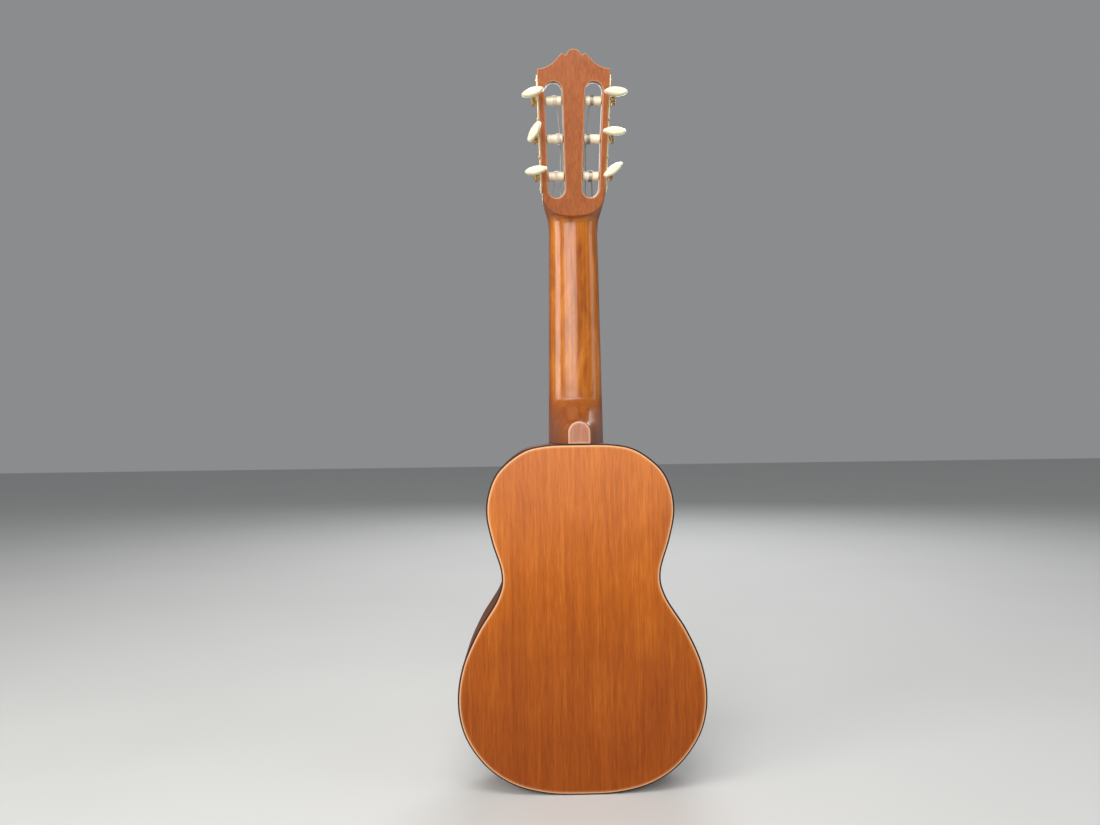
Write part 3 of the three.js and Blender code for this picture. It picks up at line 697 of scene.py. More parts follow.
def makeBoards(v):
    # The back is a flat plate whose outer edge is rounded over; each binding is a rounded bar beside
    # its board. All are profiles carried along the outline.
    low, high = backZ, backZ + general["plate"]
    edge = [(inset, -z) for inset, z in roundEdge(general["binding"], topZ, v["edgeRound"], v["edgeDrop"])]
    profile = [(12, low), (4.5, low), *edge, (general["binding"], high), (4.5, high), (12, high)]
    points, faces = capped(aroundBody(profile))
    # painted highlight and lower roughness along the rounded edge
    paintedHighlight = np.repeat([0, 0, 0.3, 1, 1, 0.8, 0.4, 0, 0, 0, 0], len(outline))
    marks = {"rim": paintedHighlight}
    addPiece("backBoard", points, faces, veneer, "guitar", ["back_plate"], 40, marks=marks)

    width, plate = general["binding"], general["plate"]
    # a share of the binding's width, and how far the crown drops there
    backCrown = [(1, 0.58), (0.7, 0.66), (0.35, 0.86), (0.1, 1.2)]
    topCrown = [(1, 0.05), (0.7, 0.2), (0.35, 0.5), (0.1, 1.0)]
    for name, node, side, crown in (
        ("backBinding", "back_binding", -1, backCrown), ("topBinding", "top_binding", 1, topCrown),
    ):
        drops = (*crown, (0, 1.65), (0, plate), (1, plate))
        ring = [(width * share, side * (topZ - drop)) for share, drop in drops]
        faces = gridFaces(len(ring), len(outline), True, True)
        addPiece(name, aroundBody(ring), faces, blackPlastic, "guitar", [node])


def makeRibs(v):
    # A thin wall carried along each half of the outline, from the tail strip to the neck
    half = len(outline) // 2
    first = int(np.argmax(outline[:half, 0] > v["tailStrip"]))
    wall, rib = topZ - general["plate"], general["rib"]
    profile = [(0, z) for z in np.linspace(-wall, wall, 5)] + [(rib, wall), (rib, -wall)]
    across = np.array([*np.linspace(-wall, wall, 5), wall + rib, -wall - rib]) / 1000
    for name, node, part in (
        ("ribTreble", "rib_treble", np.arange(first, half + 1)),
        ("ribBass", "rib_bass", np.arange(half, 2 * half - first + 1)),
    ):
        points = aroundBody(profile, part)
        uv = np.stack(np.meshgrid(across, distance(outline[part]), indexing="ij")[::-1], -1)
        rows, columns = points.shape[:2]
        start = np.arange(rows) * columns
        faces = [*gridFaces(rows, columns, True, False), start, (start + columns - 1)[::-1]]
        addPiece(name, points, faces, ribWood, "guitar", [node], 40, uv)


def makeSoundboard(v):
    # Rings that spread from the soundhole's edge to the outline, each point on its ray from the hole
    centre = np.array([0, v["soundholeY"]])
    ray = outline - centre
    ray /= np.linalg.norm(ray, axis=1, keepdims=True)
    low, high = topZ - general["plate"], topZ
    radius = v["soundholeRadius"]
    inner, outer = v["rosette"]
    hole = [(radius, low), (radius, high - 0.6), (radius + 0.2, high - 0.15), (radius + 0.6, high)]
    channel = [(inner, high), (inner, high - 0.5), (outer, high - 0.5), (outer, high)]
    circles = np.array([withHeight(centre + ray * r, z) for r, z in hole + channel])
    width = general["binding"]
    rim = aroundBody([(5, high), (width + 0.4, high), (width, high - 0.1), (width, low)])
    points = np.concatenate([circles, rim])
    faces = gridFaces(*points.shape[:2], True, True)
    addPiece("soundboard", points, faces, topWood, "guitar", ["top_plate"], 40)

    # the inlay lies in its channel with a hair of air all round
    inner, outer = inner + 0.05, outer - 0.05
    spoke = np.stack([np.cos(circle(192)), np.sin(circle(192))], -1)
    ring = [(inner, high - 0.45), (inner, high - 0.02), (outer, high - 0.02), (outer, high - 0.45)]
    points = np.array([withHeight(centre + spoke * r, z) for r, z in ring])
    inlay = rosetteLook("rosetteInlay", v["soundholeY"] / 1000)
    faces = gridFaces(*points.shape[:2], True, True)
    addPiece("rosetteRing", points, faces, inlay, "guitar", ["rosette"], 40)


makeBoards(bodyShape)
makeRibs(bodyShape)
makeSoundboard(bodyShape)
print("body is built")


neckShape = {
    "bodyEnd": 321.0,
    "nutWidth": 48.5,
    "widthAtBody": 54.4,
    "depth": 15.0,
    "depthAtHeel": 16.5,
    "heelTop": 366.0,
    "heelFall": 1.45,        # how full the hollow curve of the heel is
    "capRadius": 10.3,
    "capThick": 2.7,
    "nutThick": 4.8,
    "throatEnd": 30.0,
    "throatGrowth": 11.0,
    "flatBackStart": 12.0,
    "lowHalf": 31.0,
    "topHalf": 34.5,
    "shoulder": 147.2,
    "sideEnd": 146.0,       # where the head's straight side ends and the shoulder begins
    "join": 27.0,           # where the flat strips across the front and the back end
    "squareFrom": 38.0,
    "slotInset": 14.6,
    "slotRadius": 8.3,
    "slotEnds": (-46.8, 43.4),
    "middleRoller": 83.8,
    "softEdge": 1.0,
    "crestEdge": 0.5,
    "webHalf": 19.5,        # where the middle of the head's face meets its sides, at the crest
    "hollowPaintedShade": 0.75,    # how much painted shade darkens the hollows, 0 to 1
    # how much painted shade darkens the neck's sides, 0 to 1
    "sidePaintedShade": 0.55,
}
headTilt = radians(general["headAngle"])
headStart = np.array([0, general["nutY"], topZ + neckShape["nutThick"] * tan(headTilt)])
headGrowth = neckShape["topHalf"] - neckShape["lowHalf"]
lean = np.arctan(headGrowth / (neckShape["shoulder"] - neckShape["throatEnd"]))


def fromHead(points):
    # Head coordinates (x, distance up the head, towards the player) to plan
    points = np.asarray(points, float)
    y, z = points[..., 1], points[..., 2]
    up = y * cos(headTilt) + z * sin(headTilt)
    out = z * cos(headTilt) - y * sin(headTilt)
    return np.stack([points[..., 0], up, out], -1) + headStart


def crestLine():
    # The treble half of the head's outline, from the side over the shoulder, the hollow, the peak and
    # the notch to the dome at the middle: cubic Bezier curves, each with its number of points
    line = np.zeros((1, 2))
    for count, *corners in (
        (7, (34.47, neckShape["sideEnd"]), (34.5, 147.1), (34.4, 147.2), (33.4, 147.25)),
        (26, (33.4, 147.25), (27, 147.4), (21, 151), (17.2, 154.6)),
        (12, (17.2, 154.6), (14.6, 157.2), (12.6, 160.0), (11.2, 160.6)),
        (7, (11.2, 160.6), (10.4, 160.9), (10.2, 160.6), (9.6, 160.1)),
        (9, (9.6, 160.1), (8.8, 159.2), (7.6, 158.9), (6.9, 159.4)),
        (20, (6.9, 159.4), (5.6, 163.0), (3.2, 164.4), (0, 164.4)),
    ):
        t = np.linspace(0, 1, count)[:, None]
        a, b, c, d = np.array(corners, float)
        curve = a * (1 - t) ** 3 + 3 * b * t * (1 - t) ** 2 + 3 * c * t**2 * (1 - t) + d * t**3
        line = np.concatenate([line[:-1], curve])
    return line


def neckStations(v):
    # Every cross-section's own values on the treble side, from the body up to the middle of the crest
    bodyEnd, radius = v["bodyEnd"], v["capRadius"]
    capTop = bodyEnd + 2 * radius
    capRise = bodyEnd + radius + radius * np.sin(np.linspace(0, pi / 2, 14))
    heel = np.concatenate([
        np.linspace(bodyEnd + 0.1, bodyEnd + radius, 5)[:-1], capRise,
        capTop + (v["heelTop"] - capTop) * np.linspace(0, 1, 22)[1:] ** 1.4,
    ])
    shaft = np.linspace(v["heelTop"], general["nutY"] - 6, 26)[1:]
    y = np.concatenate([heel, shaft])
    down = (general["nutY"] - y) / (general["nutY"] - bodyEnd)
    width = v["nutWidth"] + (v["widthAtBody"] - v["nutWidth"]) * down
    plainDepth = v["depth"] + (v["depthAtHeel"] - v["depth"]) * down
    above = np.clip((y - bodyEnd) / (v["heelTop"] - bodyEnd), 0, 1)
    full = general["bodyDepth"] - v["capThick"] - 0.05
    lift = np.clip((y - bodyEnd - radius) / radius, 0, 1)
    flat = np.maximum(radius * np.sqrt(1 - lift**2), 0.4)
    taper = 1 - smoothed(above)
    besideCap = 1 - smoothed((y - bodyEnd) / (2 * radius))
    wide = np.maximum(radius * (1 - smoothed((y - bodyEnd) / (2 * radius + 6))), 0.4)
    neck = {
        "x": width / 2, "front": np.stack([y, np.full_like(y, topZ)], -1), "tilt": 0 * y,
        "depth": plainDepth, "full": full + 0 * y, "y": y, "capTop": capTop, "heelTop": v["heelTop"],
        "heelFall": v["heelFall"], "reach": 2 * radius, "cap": np.full_like(y, 1000.0),   # no cap at all
        "flat": flat, "wide": wide, "bow": 1 + 0.8 * besideCap, "sweep": 1 + 0.3 * taper,
        "soft": np.full_like(y, 0.05),
    }
    edge = v["nutThick"] / cos(headTilt)
    start = v["flatBackStart"]
    s = np.concatenate([
        np.linspace(edge, start, 12), start + (v["throatEnd"] - start) * np.linspace(0, 1, 26)[1:] ** 1.25,
        np.linspace(v["throatEnd"], v["squareFrom"], 5)[1:],
    ])
    opening = smoothed((s + 2) / (v["throatEnd"] + 2))
    growth = (s - edge) / (start - edge)
    early = v["depth"] + 0.4 + (general["headThick"] - v["depth"] - 0.4) * np.clip(growth, 0, 1) ** 2
    late = general["headThick"] * np.exp((s - start) / v["throatGrowth"])
    half = v["nutWidth"] / 2 + (v["lowHalf"] - v["nutWidth"] / 2) * opening
    half = np.where(s > v["throatEnd"], v["lowHalf"] + (s - v["throatEnd"]) * tan(lean), half)
    tilt = headTilt * (1 + smoothed(growth)) / 2
    front = fromHead(np.stack([np.zeros_like(s), s, np.zeros_like(s)], -1))[:, 1:]
    throat = {
        "x": half, "front": front, "tilt": tilt, "depth": np.where(s < start, early, late),
        "cap": 0 * s + general["headThick"], "flat": 0 * s + 0.4, "wide": 0 * s + 0.4,
        "bow": 0 * s + 1, "sweep": 0 * s + 1, "soft": v["softEdge"] * smoothed((s - start) / 6) + 0.05,
    }
    return neck, throat, s


def heelDepth(v, share):
    # The depth of a section: the neck's own, and at the heel it deepens along a hollow curve to the
    # cap. share is 0 at the side of the section and 1 at its back; towards the side the curve starts
    # lower down and turns more gently.
    if "full" not in v:
        return v["depth"][:, None] + 0 * share
    start = v["capTop"] - v["reach"] * np.sqrt(1 - share)
    above = np.clip((v["y"][:, None] - start) / (v["heelTop"] - start), 0, 1)
    steep = (1 - (1 - above) ** v["heelFall"]) ** (1 / v["heelFall"])
    near = share**8
    fall = steep * near + smoothed(above) * (1 - near)
    return v["full"][:, None] + (v["depth"][:, None] - v["full"][:, None]) * fall


def sideProfile(v):
    # From the front face's edge round the side to the flat of the back, as (inset, depth) for each
    # station: a small round, a quarter superellipse cut off at the cap, a soft corner, a flat lip.
    # The superellipse ends at the flat's edge; further out it is drawn from the smoother wide line.
    w, cap, flat, wide = (v[k][:, None] for k in ("x", "cap", "flat", "wide"))
    bow, sweep, soft = (v[k][:, None] for k in ("bow", "sweep", "soft"))
    depth = heelDepth(v, 1.0)
    reach = np.minimum(depth, cap)
    q = np.linspace(0, 1, 5)[None]
    frontRound = np.minimum(soft, 0.8)
    frontX = w - frontRound * (1 - np.sin(q * pi / 2))
    frontT = frontRound * (1 - np.cos(q * pi / 2))
    lipX, lipT = w - frontRound - 0.12, np.zeros_like(w)
    startAngle = np.arcsin((frontRound / depth) ** (1 / sweep))
    endAngle = np.arcsin(np.clip(((reach - soft) / depth), 0, 1) ** (1 / sweep))
    angle = startAngle + (endAngle - startAngle) * np.linspace(0, 1, 22)[None, 1:]
    near = np.sin(angle) ** 40
    middle = flat * near + wide * (1 - near)
    sideX = middle + (w - middle) * np.cos(angle) ** bow
    sideT = heelDepth(v, np.sin(angle) ** 2) * np.sin(angle) ** sweep
    cornerAngle = np.arcsin(np.clip(reach / depth, 0, 1) ** (1 / sweep))
    cornerX = flat + (w - flat) * np.cos(cornerAngle) ** bow
    q = np.linspace(0, 1, 7)[None, 1:]
    landX = cornerX - np.minimum(soft, cornerX * 0.4)
    softX = sideX[:, -1:] * (1 - q) ** 2 + 2 * cornerX * q * (1 - q) + landX * q**2
    softT = sideT[:, -1:] * (1 - q) ** 2 + 2 * reach * q * (1 - q) + reach * q**2
    endX = landX - np.minimum(0.12, landX * 0.3)
    x = np.concatenate([lipX, frontX, sideX, softX, endX], 1)
    t = np.concatenate([lipT, frontT, sideT, softT, reach + np.zeros_like(endX)], 1)
    return w - x, t


def squareProfile(soft):
    # The same columns for a plain wall between two soft edges, whose size is given for each station
    soft, thick = soft[:, None], general["headThick"]
    front = np.minimum(soft, 0.8)
    flat = np.zeros_like(soft)
    q = np.linspace(0, pi / 2, 5)[None]
    f = np.linspace(0, 1, 22)[None, 1:]
    g = np.linspace(0, 1, 7)[None, 1:]
    inset = np.concatenate([
        front + 0.12, front * (1 - np.sin(q)), flat + 0 * f, soft * g**2, soft + 0.12,
    ], 1)
    depth = np.concatenate([
        flat, front * (1 - np.cos(q)), front + (thick - soft - front) * f, thick - soft * (1 - g) ** 2,
        flat + thick,
    ], 1)
    return inset, depth


def skinHalf(v):
    # The treble half of the skin, a row of points for each station, and its marks. Up to the side of
    # the head a row is a section; from there it is the head's wall at one point of its outline.
    neck, throat, s = neckStations(v)
    rows = []
    for part in (neck, throat):
        inset, t = sideProfile(part)
        x, tilt = part["x"][:, None], part["tilt"][:, None]
        y, z = part["front"].T[..., None]
        rows.append(stacked(x - inset, y - t * np.sin(tilt), z - t * np.cos(tilt)))
    heights = np.linspace(v["squareFrom"], v["sideEnd"], 30)[1:-1]
    side = np.stack([v["lowHalf"] + (heights - v["throatEnd"]) * tan(lean), heights], -1)
    path = np.concatenate([side, crestLine()])
    along = np.gradient(path, axis=0)
    along[-1] = (-1, 0)
    along /= np.linalg.norm(along, axis=1, keepdims=True)
    normal = np.stack([-along[:, 1], along[:, 0]], -1)
    soft = v["softEdge"] + (v["crestEdge"] - v["softEdge"]) * smoothed((path[:, 1] - 115) / 25)
    inset, depth = squareProfile(soft)
    flat = path[:, None] + normal[:, None] * inset[..., None]
    rows.append(fromHead(withHeight(flat, -depth)))
    half = np.concatenate(rows)

    satin, rim, stain = np.zeros((3, *half.shape[:2]))
    throatStart, wallStart = len(neck["y"]), len(neck["y"]) + len(s)
    satin[throatStart:wallStart, -4:] = smoothed((s - v["flatBackStart"] + 1) / 2)[:, None] * (0.5, 1, 1, 1)
    satin[throatStart:wallStart, :6] = 1
    satin[wallStart:] = 1
    # the head's soft edges get a painted highlight
    rim[wallStart:] = [0, 0.3, 0.8, 0.8, 0.4, 0.2, *[0] * 20, 0.5, 0.9, 1, 1, 0.9, 0.6, 0.3, 0]
    # painted shade: darker in the heel's and the throat's hollows and towards the neck's sides
    hollow = np.concatenate([smoothed((v["heelTop"] + 8 - neck["y"]) / 18), smoothed((s - 4) / 12)])
    sideways = np.clip((15 - np.arange(half.shape[1])) / 9, 0, 1)
    stain[:wallStart] = np.clip(hollow[:, None] * v["hollowPaintedShade"] + sideways * v["sidePaintedShade"], 0, 1)
    # the flat strips across the front and the back run up to just below the slots
    join = throatStart + int(np.argmax(s > v["join"]))
    return half, {"satin": satin, "rim": rim, "stain": stain}, join


def slotHole(v, side):
    # A round-ended hole through the head: its outline grows by the soft edge at both faces. It starts
    # on the outer side and goes over the top.
    around = np.linspace(0, pi, 25)
    lowEnd, highEnd = v["slotEnds"]
    spoke = np.concatenate([np.stack([np.cos(a), np.sin(a)], -1) for a in (around, around + pi)])
    end = np.repeat([highEnd, lowEnd], 25)
    soft, thick = v["softEdge"], general["headThick"]
    edge = [(0.6 + soft, 0), *((soft * grow, soft * deep) for grow, deep in (
        (1, 0), (0.62, 0.08), (0.29, 0.29), (0.08, 0.62), (0, 1)))]
    grow, depth = np.array(edge + [(g, thick - d) for g, d in edge[::-1]]).T[..., None]
    radius = v["slotRadius"] + grow
    x = spoke[:, 0] * radius - v["slotInset"]
    y = spoke[:, 1] * radius + end
    out = v["lowHalf"] + (v["middleRoller"] - v["throatEnd"]) * tan(lean)
    turned = x * cos(lean) + y * sin(lean) + out, y * cos(lean) - x * sin(lean) + v["middleRoller"]
    return fromHead(stacked(side * turned[0], turned[1], -depth))


def makeNeck(v):
    # The skin's two halves, the two slots and the flat faces between them, as one closed mesh
    half, marks, join = skinHalf(v)
    skin = np.concatenate([half, half[-2::-1] * (-1, 1, 1)])
    count, columns = skin.shape[:2]
    last = columns - 1
    number = np.arange(count * columns).reshape(count, columns)
    opposite = number[::-1]
    faces = [*gridFaces(count, columns, False, False)]
    for row in range(join):
        faces.append((number[row, 0], number[row + 1, 0], opposite[row + 1, 0], opposite[row, 0]))
        faces.append((number[row, last], opposite[row, last], opposite[row + 1, last], number[row + 1, last]))
    faces.append((*number[0], *opposite[0, ::-1]))      # the end at the body

    points = [skin.reshape(-1, 3)]
    values = {word: [np.concatenate([mark, mark[-2::-1]]).ravel()] for word, mark in marks.items()}
    slots = {}
    start = count * columns
    for side in (1, -1):
        hole = slotHole(v, side)
        layers, n = hole.shape[:2]
        points.append(hole.reshape(-1, 3))
        # the slots' inner walls get painted shade, and their soft edges a painted highlight
        inWall = np.repeat(np.isin(np.arange(layers), (5, 6)), n)
        values["satin"].append(~inWall)
        values["stain"].append(inWall)
        values["rim"].append(np.repeat([0, 0.3, 0.8, 0.8, 0.3, 0, 0, 0.4, 0.9, 0.9, 0.3, 0], n))
        quads = gridFaces(layers, n, False, True) + start
        faces += [*(quads if side < 0 else quads[:, ::-1])]
        slots[side] = start + np.arange(layers * n).reshape(layers, n)
        start += layers * n

    # each flat face is a piece on each side of the slots and a web between them
    crestStart = len(half) - len(crestLine())
    crestRow = crestStart + int(np.argmin(np.abs(half[crestStart:, 0, 0] - v["webHalf"])))
    top, bottom = 12, 37                    # the highest and the lowest point of a slot's outline
    outerWay = np.arange(top, bottom - n - 1, -1) % n
    innerWay = np.arange(bottom, top - 1, -1)
    for column, layer, way in ((0, 0, -1), (last, layers - 1, 1)):
        treble, bass = number[join:crestRow + 1, column], opposite[join:crestRow + 1, column]
        crest = number[crestRow:count - crestRow, column]
        web = [treble[0], *slots[1][layer, innerWay], *crest, *slots[-1][layer, innerWay][::-1], bass[0]]
        sides = [[*treble, *slots[1][layer, outerWay]], [*bass, *slots[-1][layer, outerWay]][::-1], web[::-1]]
        faces += [loop[::way] for loop in sides]
    points = np.concatenate(points)
    marks = {word: np.concatenate(parts) for word, parts in values.items()}
    replaced = ["neck", "headstock"]
    addPiece("neckAndHead", points, faces, neckFinish, "guitar", replaced, marks=marks)


makeNeck(neckShape)


def makeHeelCap(v):
    # A tongue with a round top: its outline carried down a softly rounded edge
    r, low = v["capRadius"], v["bodyEnd"] + 0.1
    turn = np.linspace(0, pi, 41)
    arc = np.stack([r * np.cos(turn), low + r + r * np.sin(turn)], -1)
    base = np.stack([np.linspace(-r, r, 9), np.full(9, low)], -1)[1:-1]
    left = np.stack([np.full(7, -r), np.linspace(low + r, low, 8)[1:]], -1)
    line = np.concatenate([left[::-1] * (-1, 1), arc, left, base])
    centre = np.array([0, low + r * 0.9])
    thick = v["capThick"]
    profile = [(3.0, 0), (1.6, 0), (0.9, 0.04), (0.45, 0.16), (0.15, 0.38), (0, 0.75), (0, thick)]
    profile.append((3.0, thick))
    pull = line - centre
    size = np.linalg.norm(pull, axis=1, keepdims=True)
    rings = [withHeight(centre + pull * (1 - inset / size), backZ + drop) for inset, drop in profile]
    points, faces = capped(np.array(rings))
    # painted highlight along the cap's rounded edge
    paintedHighlight = np.repeat([0, 0.3, 1, 1, 0.8, 0.2, 0, 0], len(line))
    addPiece("heelCap", points, faces, capWood, "guitar", ["heel_cap"], marks={"rim": paintedHighlight})


makeHeelCap(neckShape)
print("neck and head are built")


boardShape = {
    "frets": 18,
    "overrun": 4.0,
    "edge": 0.45,
    "crownWidth": 2.0,
    "crownHeight": 0.95,
    "crownInset": 0.25,
    "nutProud": 1.6,
    "saddleTop": 9.3,
    "saddleWidth": 2.6,
    "saddleHalf": 31.0,
    "saddleFoot": 2.4,          # how far above the soundboard it ends, inside the bridge
    "compensation": 1.5,
}
saddleY = general["nutY"] - general["scale"] - boardShape["compensation"]
boardTop = topZ + general["boardThick"]


def boardHalf(y):
    # Half the fingerboard's width: a straight taper from the nut to the body and beyond
    v = neckShape
    share = (general["nutY"] - y) / (general["nutY"] - v["bodyEnd"])
    return (v["nutWidth"] + (v["widthAtBody"] - v["nutWidth"]) * share) / 2


def fretPlace(number):
    return general["nutY"] - general["scale"] * (1 - 2 ** (-number / 12))


def makeFingerboard(v):
    # A low box carried along the taper, its two top edges eased with a small round
    y = np.linspace(fretPlace(v["frets"]) - v["overrun"], general["nutY"], 60)[:, None]
    turn = np.linspace(0, pi / 2, 4)
    edge = v["edge"]
    inset = np.concatenate([[0], edge * (1 - np.cos(turn))])
    height = np.concatenate([[topZ], boardTop - edge + edge * np.sin(turn)])
    half = boardHalf(y) - inset[None]
    x = np.concatenate([half, -half[:, ::-1]], 1)
    points, faces = capped(stacked(x, y, np.concatenate([height, height[::-1]])))
    addPiece("fingerboardTop", points, faces, darkWood, "guitar", ["fingerboard"], 40)


def makeFrets(v):
    # Each fret is a low half ellipse carried across the board, its ends filed down at a slant
    turn = np.linspace(0, pi, 9)
    arc = np.stack([-np.cos(turn) * v["crownWidth"] / 2, np.sin(turn) * v["crownHeight"]], -1)
    solids = []
    for number in range(1, v["frets"] + 1):
        y = fretPlace(number)
        half = boardHalf(y) - v["crownInset"]
        x = np.array([-half, -half + 0.35, -half + 0.8, 0, half - 0.8, half - 0.35, half])
        rise = np.array([0.15, 0.72, 1, 1, 1, 0.72, 0.15])
        rings = stacked(x[:, None], y + arc[:, 0], boardTop - 0.02 + arc[:, 1] * rise[:, None])
        solids.append(turnedOut(*capped(rings)))
    points, faces = joined(solids)
    addPiece("frets", points, faces, fretMetal, "guitar")


def stringSpots(spread):
    # The six strings' places across, from the outer bass string to the outer treble string
    return {(side, i): side * spread * (2 * (2 - i) + 1) / 10 for side in (-1, 1) for i in range(3)}


stringShape = {
    "radii": {-1: (0.55, 0.45, 0.38), 1: (0.5, 0.42, 0.36)},
    "spreadNut": 41.0,
    "spreadSaddle": 54.0,
    "sides": 12,
    "windingInset": (13.2, 20.0, 17.5),   # from the side of the head to where the string meets its roller
    "windingWay": (1, -1, -1),            # 1 winds on towards the middle of the head
    "turns": {-1: (3.4, 4.4, 4.4), 1: (3.4, 4.4, 5.4)},
}


def makeNut(v):
    # A rounded bar carried across the neck; its top dips in a round groove under each string
    base = neckShape["nutWidth"] / 2 - 0.05
    x = np.linspace(-base, base, 420)
    dip = np.zeros_like(x)
    for (side, i), place in stringSpots(stringShape["spreadNut"]).items():
        radius = stringShape["radii"][side][i] + 0.06
        dip = np.maximum(dip, np.sqrt(np.clip(radius**2 - (x - place) ** 2, 0, None)))
    edge = np.clip(np.minimum(x + base, base - x) / 0.7, 0, 1)
    top = general["boardThick"] + v["nutProud"] - 0.6 * (1 - np.sqrt(1 - (1 - edge) ** 2)) - dip
    deep = neckShape["nutThick"]
    # along the neck, the share of the top's height, and how far below it
    y, share, drop = np.array([
        (0, 0, 0), (0, 1, 1.1), (0.12, 1, 0.55), (0.45, 1, 0.18), (1.0, 1, 0), (2.4, 1, 0.02), (3.5, 1, 0.25),
        (4.3, 1, 0.8), (deep - 0.1, 1, 1.5), (deep, 1, 2.2), (deep, 0, 0),
    ]).T
    points, faces = capped(stacked(x[:, None], general["nutY"] + y, topZ + share * top[:, None] - drop))
    addPiece("nutBar", points, faces, nutPlastic, "guitar", ["nut"], 60)


def makeSaddle(v):
    # A bar with a half-round top, its two ends rounded off
    x = np.linspace(-v["saddleHalf"], v["saddleHalf"], 90)
    turn = np.linspace(0, pi, 11)
    half = v["saddleWidth"] / 2
    end = np.clip((v["saddleHalf"] - np.abs(x)) / 1.2, 0, 1)
    high = topZ + v["saddleTop"] - half - 0.9 * (1 - np.sqrt(1 - (1 - end) ** 2))
    y = np.concatenate([[-half], -half * np.cos(turn), [half]])
    z = high[:, None] + np.concatenate([[0], half * np.sin(turn), [0]])
    z[:, [0, -1]] = topZ + v["saddleFoot"]
    points, faces = capped(stacked(x[:, None], saddleY + y, z))
    addPiece("saddleBar", points, faces, nutPlastic, "guitar", ["saddle"], 60)


bridgeShape = {
    "half": 74.0,
    "blockHalf": 33.0,
    "width": 25.0,
    "beyondSaddle": 8.0,
    "wing": 3.6,
    "tieBlock": (10.0, 8.0),    # width and height
    "ledge": (8.0, 6.0),
    "shoulder": 1.6,            # length of the step from block to wing
}
bridgeLow = saddleY - bridgeShape["width"] + bridgeShape["beyondSaddle"]


def eased(distance, size):
    # A quarter circle's height, 0 at distance 0 and 1 from size on
    return np.sqrt(np.clip(1 - (1 - np.clip(distance / size, 0, 1)) ** 2, 0, 1))


def makeBridge(v):
    # A height for each place across and along: low rounded wings, and in the middle a tie block, a
    # trough for the strings and a ledge for the saddle, which fade in over the shoulder
    width, wing = v["width"], v["wing"]
    tieWidth, tieHeight = v["tieBlock"]
    ledgeFrom = saddleY - bridgeLow - v["ledge"][0] / 2
    ledgeTo = ledgeFrom + v["ledge"][0]
    y = np.unique(np.concatenate([
        np.linspace(0, 1.2, 7), np.linspace(1.2, tieWidth - 0.8, 8), np.linspace(tieWidth - 0.8, tieWidth, 5),
        np.linspace(tieWidth, ledgeFrom, 4), np.linspace(ledgeFrom, ledgeFrom + 0.6, 4),
        np.linspace(ledgeFrom + 0.6, ledgeTo - 0.6, 6), np.linspace(ledgeTo - 0.6, ledgeTo + 1.6, 8),
        np.linspace(ledgeTo + 1.6, width - 1.2, 5), np.linspace(width - 1.2, width, 7),
    ]).round(4))
    blockHalf, half, shoulder = v["blockHalf"], v["half"], v["shoulder"]
    endRound = 1.4
    x = np.concatenate([
        -half + endRound * (1 - np.cos(np.linspace(0, pi / 2, 8))),
        np.linspace(-half + endRound, -blockHalf - shoulder, 16)[1:],
        np.linspace(-blockHalf - shoulder, -blockHalf, 9)[1:],
        np.linspace(-blockHalf, 0, 14)[1:],
    ])
    x = np.concatenate([x, -x[-2::-1]])
    plainZ = 0.9 + (wing - 0.9) * eased(np.minimum(y, width - y), 1.2)
    tie = 1.0 + (tieHeight - 1.0) * eased(np.minimum(y + 0.05, tieWidth - y + 0.02), 0.8)
    rest = smoothed((y - ledgeFrom) / 0.6) * smoothed((ledgeTo + 1.6 - y) / 2.2)
    block = np.where(y <= tieWidth, np.maximum(tie, plainZ), wing + (v["ledge"][1] - wing) * rest)
    block = np.minimum(block, np.where(y > width - 1.2, plainZ, 99))
    inBlock = smoothed((blockHalf + shoulder - np.abs(x)) / shoulder)[:, None]
    fall = eased(half - np.abs(x), endRound)[:, None]
    scoop = 1 - 0.12 * np.clip((np.abs(x) - blockHalf) / (half - blockHalf), 0, 1)[:, None]
    z = plainZ[None] * (1 - inBlock) * scoop + block[None] * inBlock
    z = np.pad(0.7 + (z - 0.7) * fall, ((0, 0), (1, 1)))
    y = np.concatenate([[0], y, [width]])
    points, faces = capped(stacked(x[:, None], bridgeLow + y, topZ + 0.02 + z))
    addPiece("bridgeCarved", points, faces, bridgeWood, "guitar", ["bridge"], 35)


makeFingerboard(boardShape)
makeFrets(boardShape)
makeNut(boardShape)
makeSaddle(boardShape)
makeBridge(bridgeShape)
print("fingerboard and bridge are built")


tunerShape = {
    "pitch": 35.0,
    "rollerDepth": 8.5,
    "rollerRadius": 4.5,
    "journal": 2.6,
    "postEnd": -26.9,       # where the roller's post stops, towards the middle of the head
    "post": 1.5,
    "wormOut": 5.0,
    "wormOffset": 6.0,
    "teeth": 14,
    "pitchRadius": 4.0,
    "gearThick": 3.0,
    "toothHeight": 0.35,
    "meshGap": 0.15,
    "threadHalf": 3.9,
    "tabCentre": 4.8,
    "tabWidth": 5.2,
    "plate": (1.2, 15.0, -50.0, 58.0),     # thickness, width, lowest and highest point along the side
    "screws": (-45.2, -16.0, 19.0, 53.4),
    "buttonStart": 16.0,
    "buttonLength": 16.0,
    "buttonHalf": (10.6, 4.1),
    "buttonTurn": {-1: (38, 0, -1), 1: (9, 57, 15)},
}
rollerPlaces = (-tunerShape["pitch"], 0.0, tunerShape["pitch"])


def fromSide(side, points):
    # The side of the head's own frame (outwards, up along the side, towards the player) to plan
    points = np.asarray(points, float)
    x, y, z = points[..., 0], points[..., 1], points[..., 2]
    out = neckShape["lowHalf"] + (neckShape["middleRoller"] - neckShape["throatEnd"]) * tan(lean)
    across = side * (x * cos(lean) + y * sin(lean) + out)
    return fromHead(np.stack([across, y * cos(lean) - x * sin(lean) + neckShape["middleRoller"], z], -1))


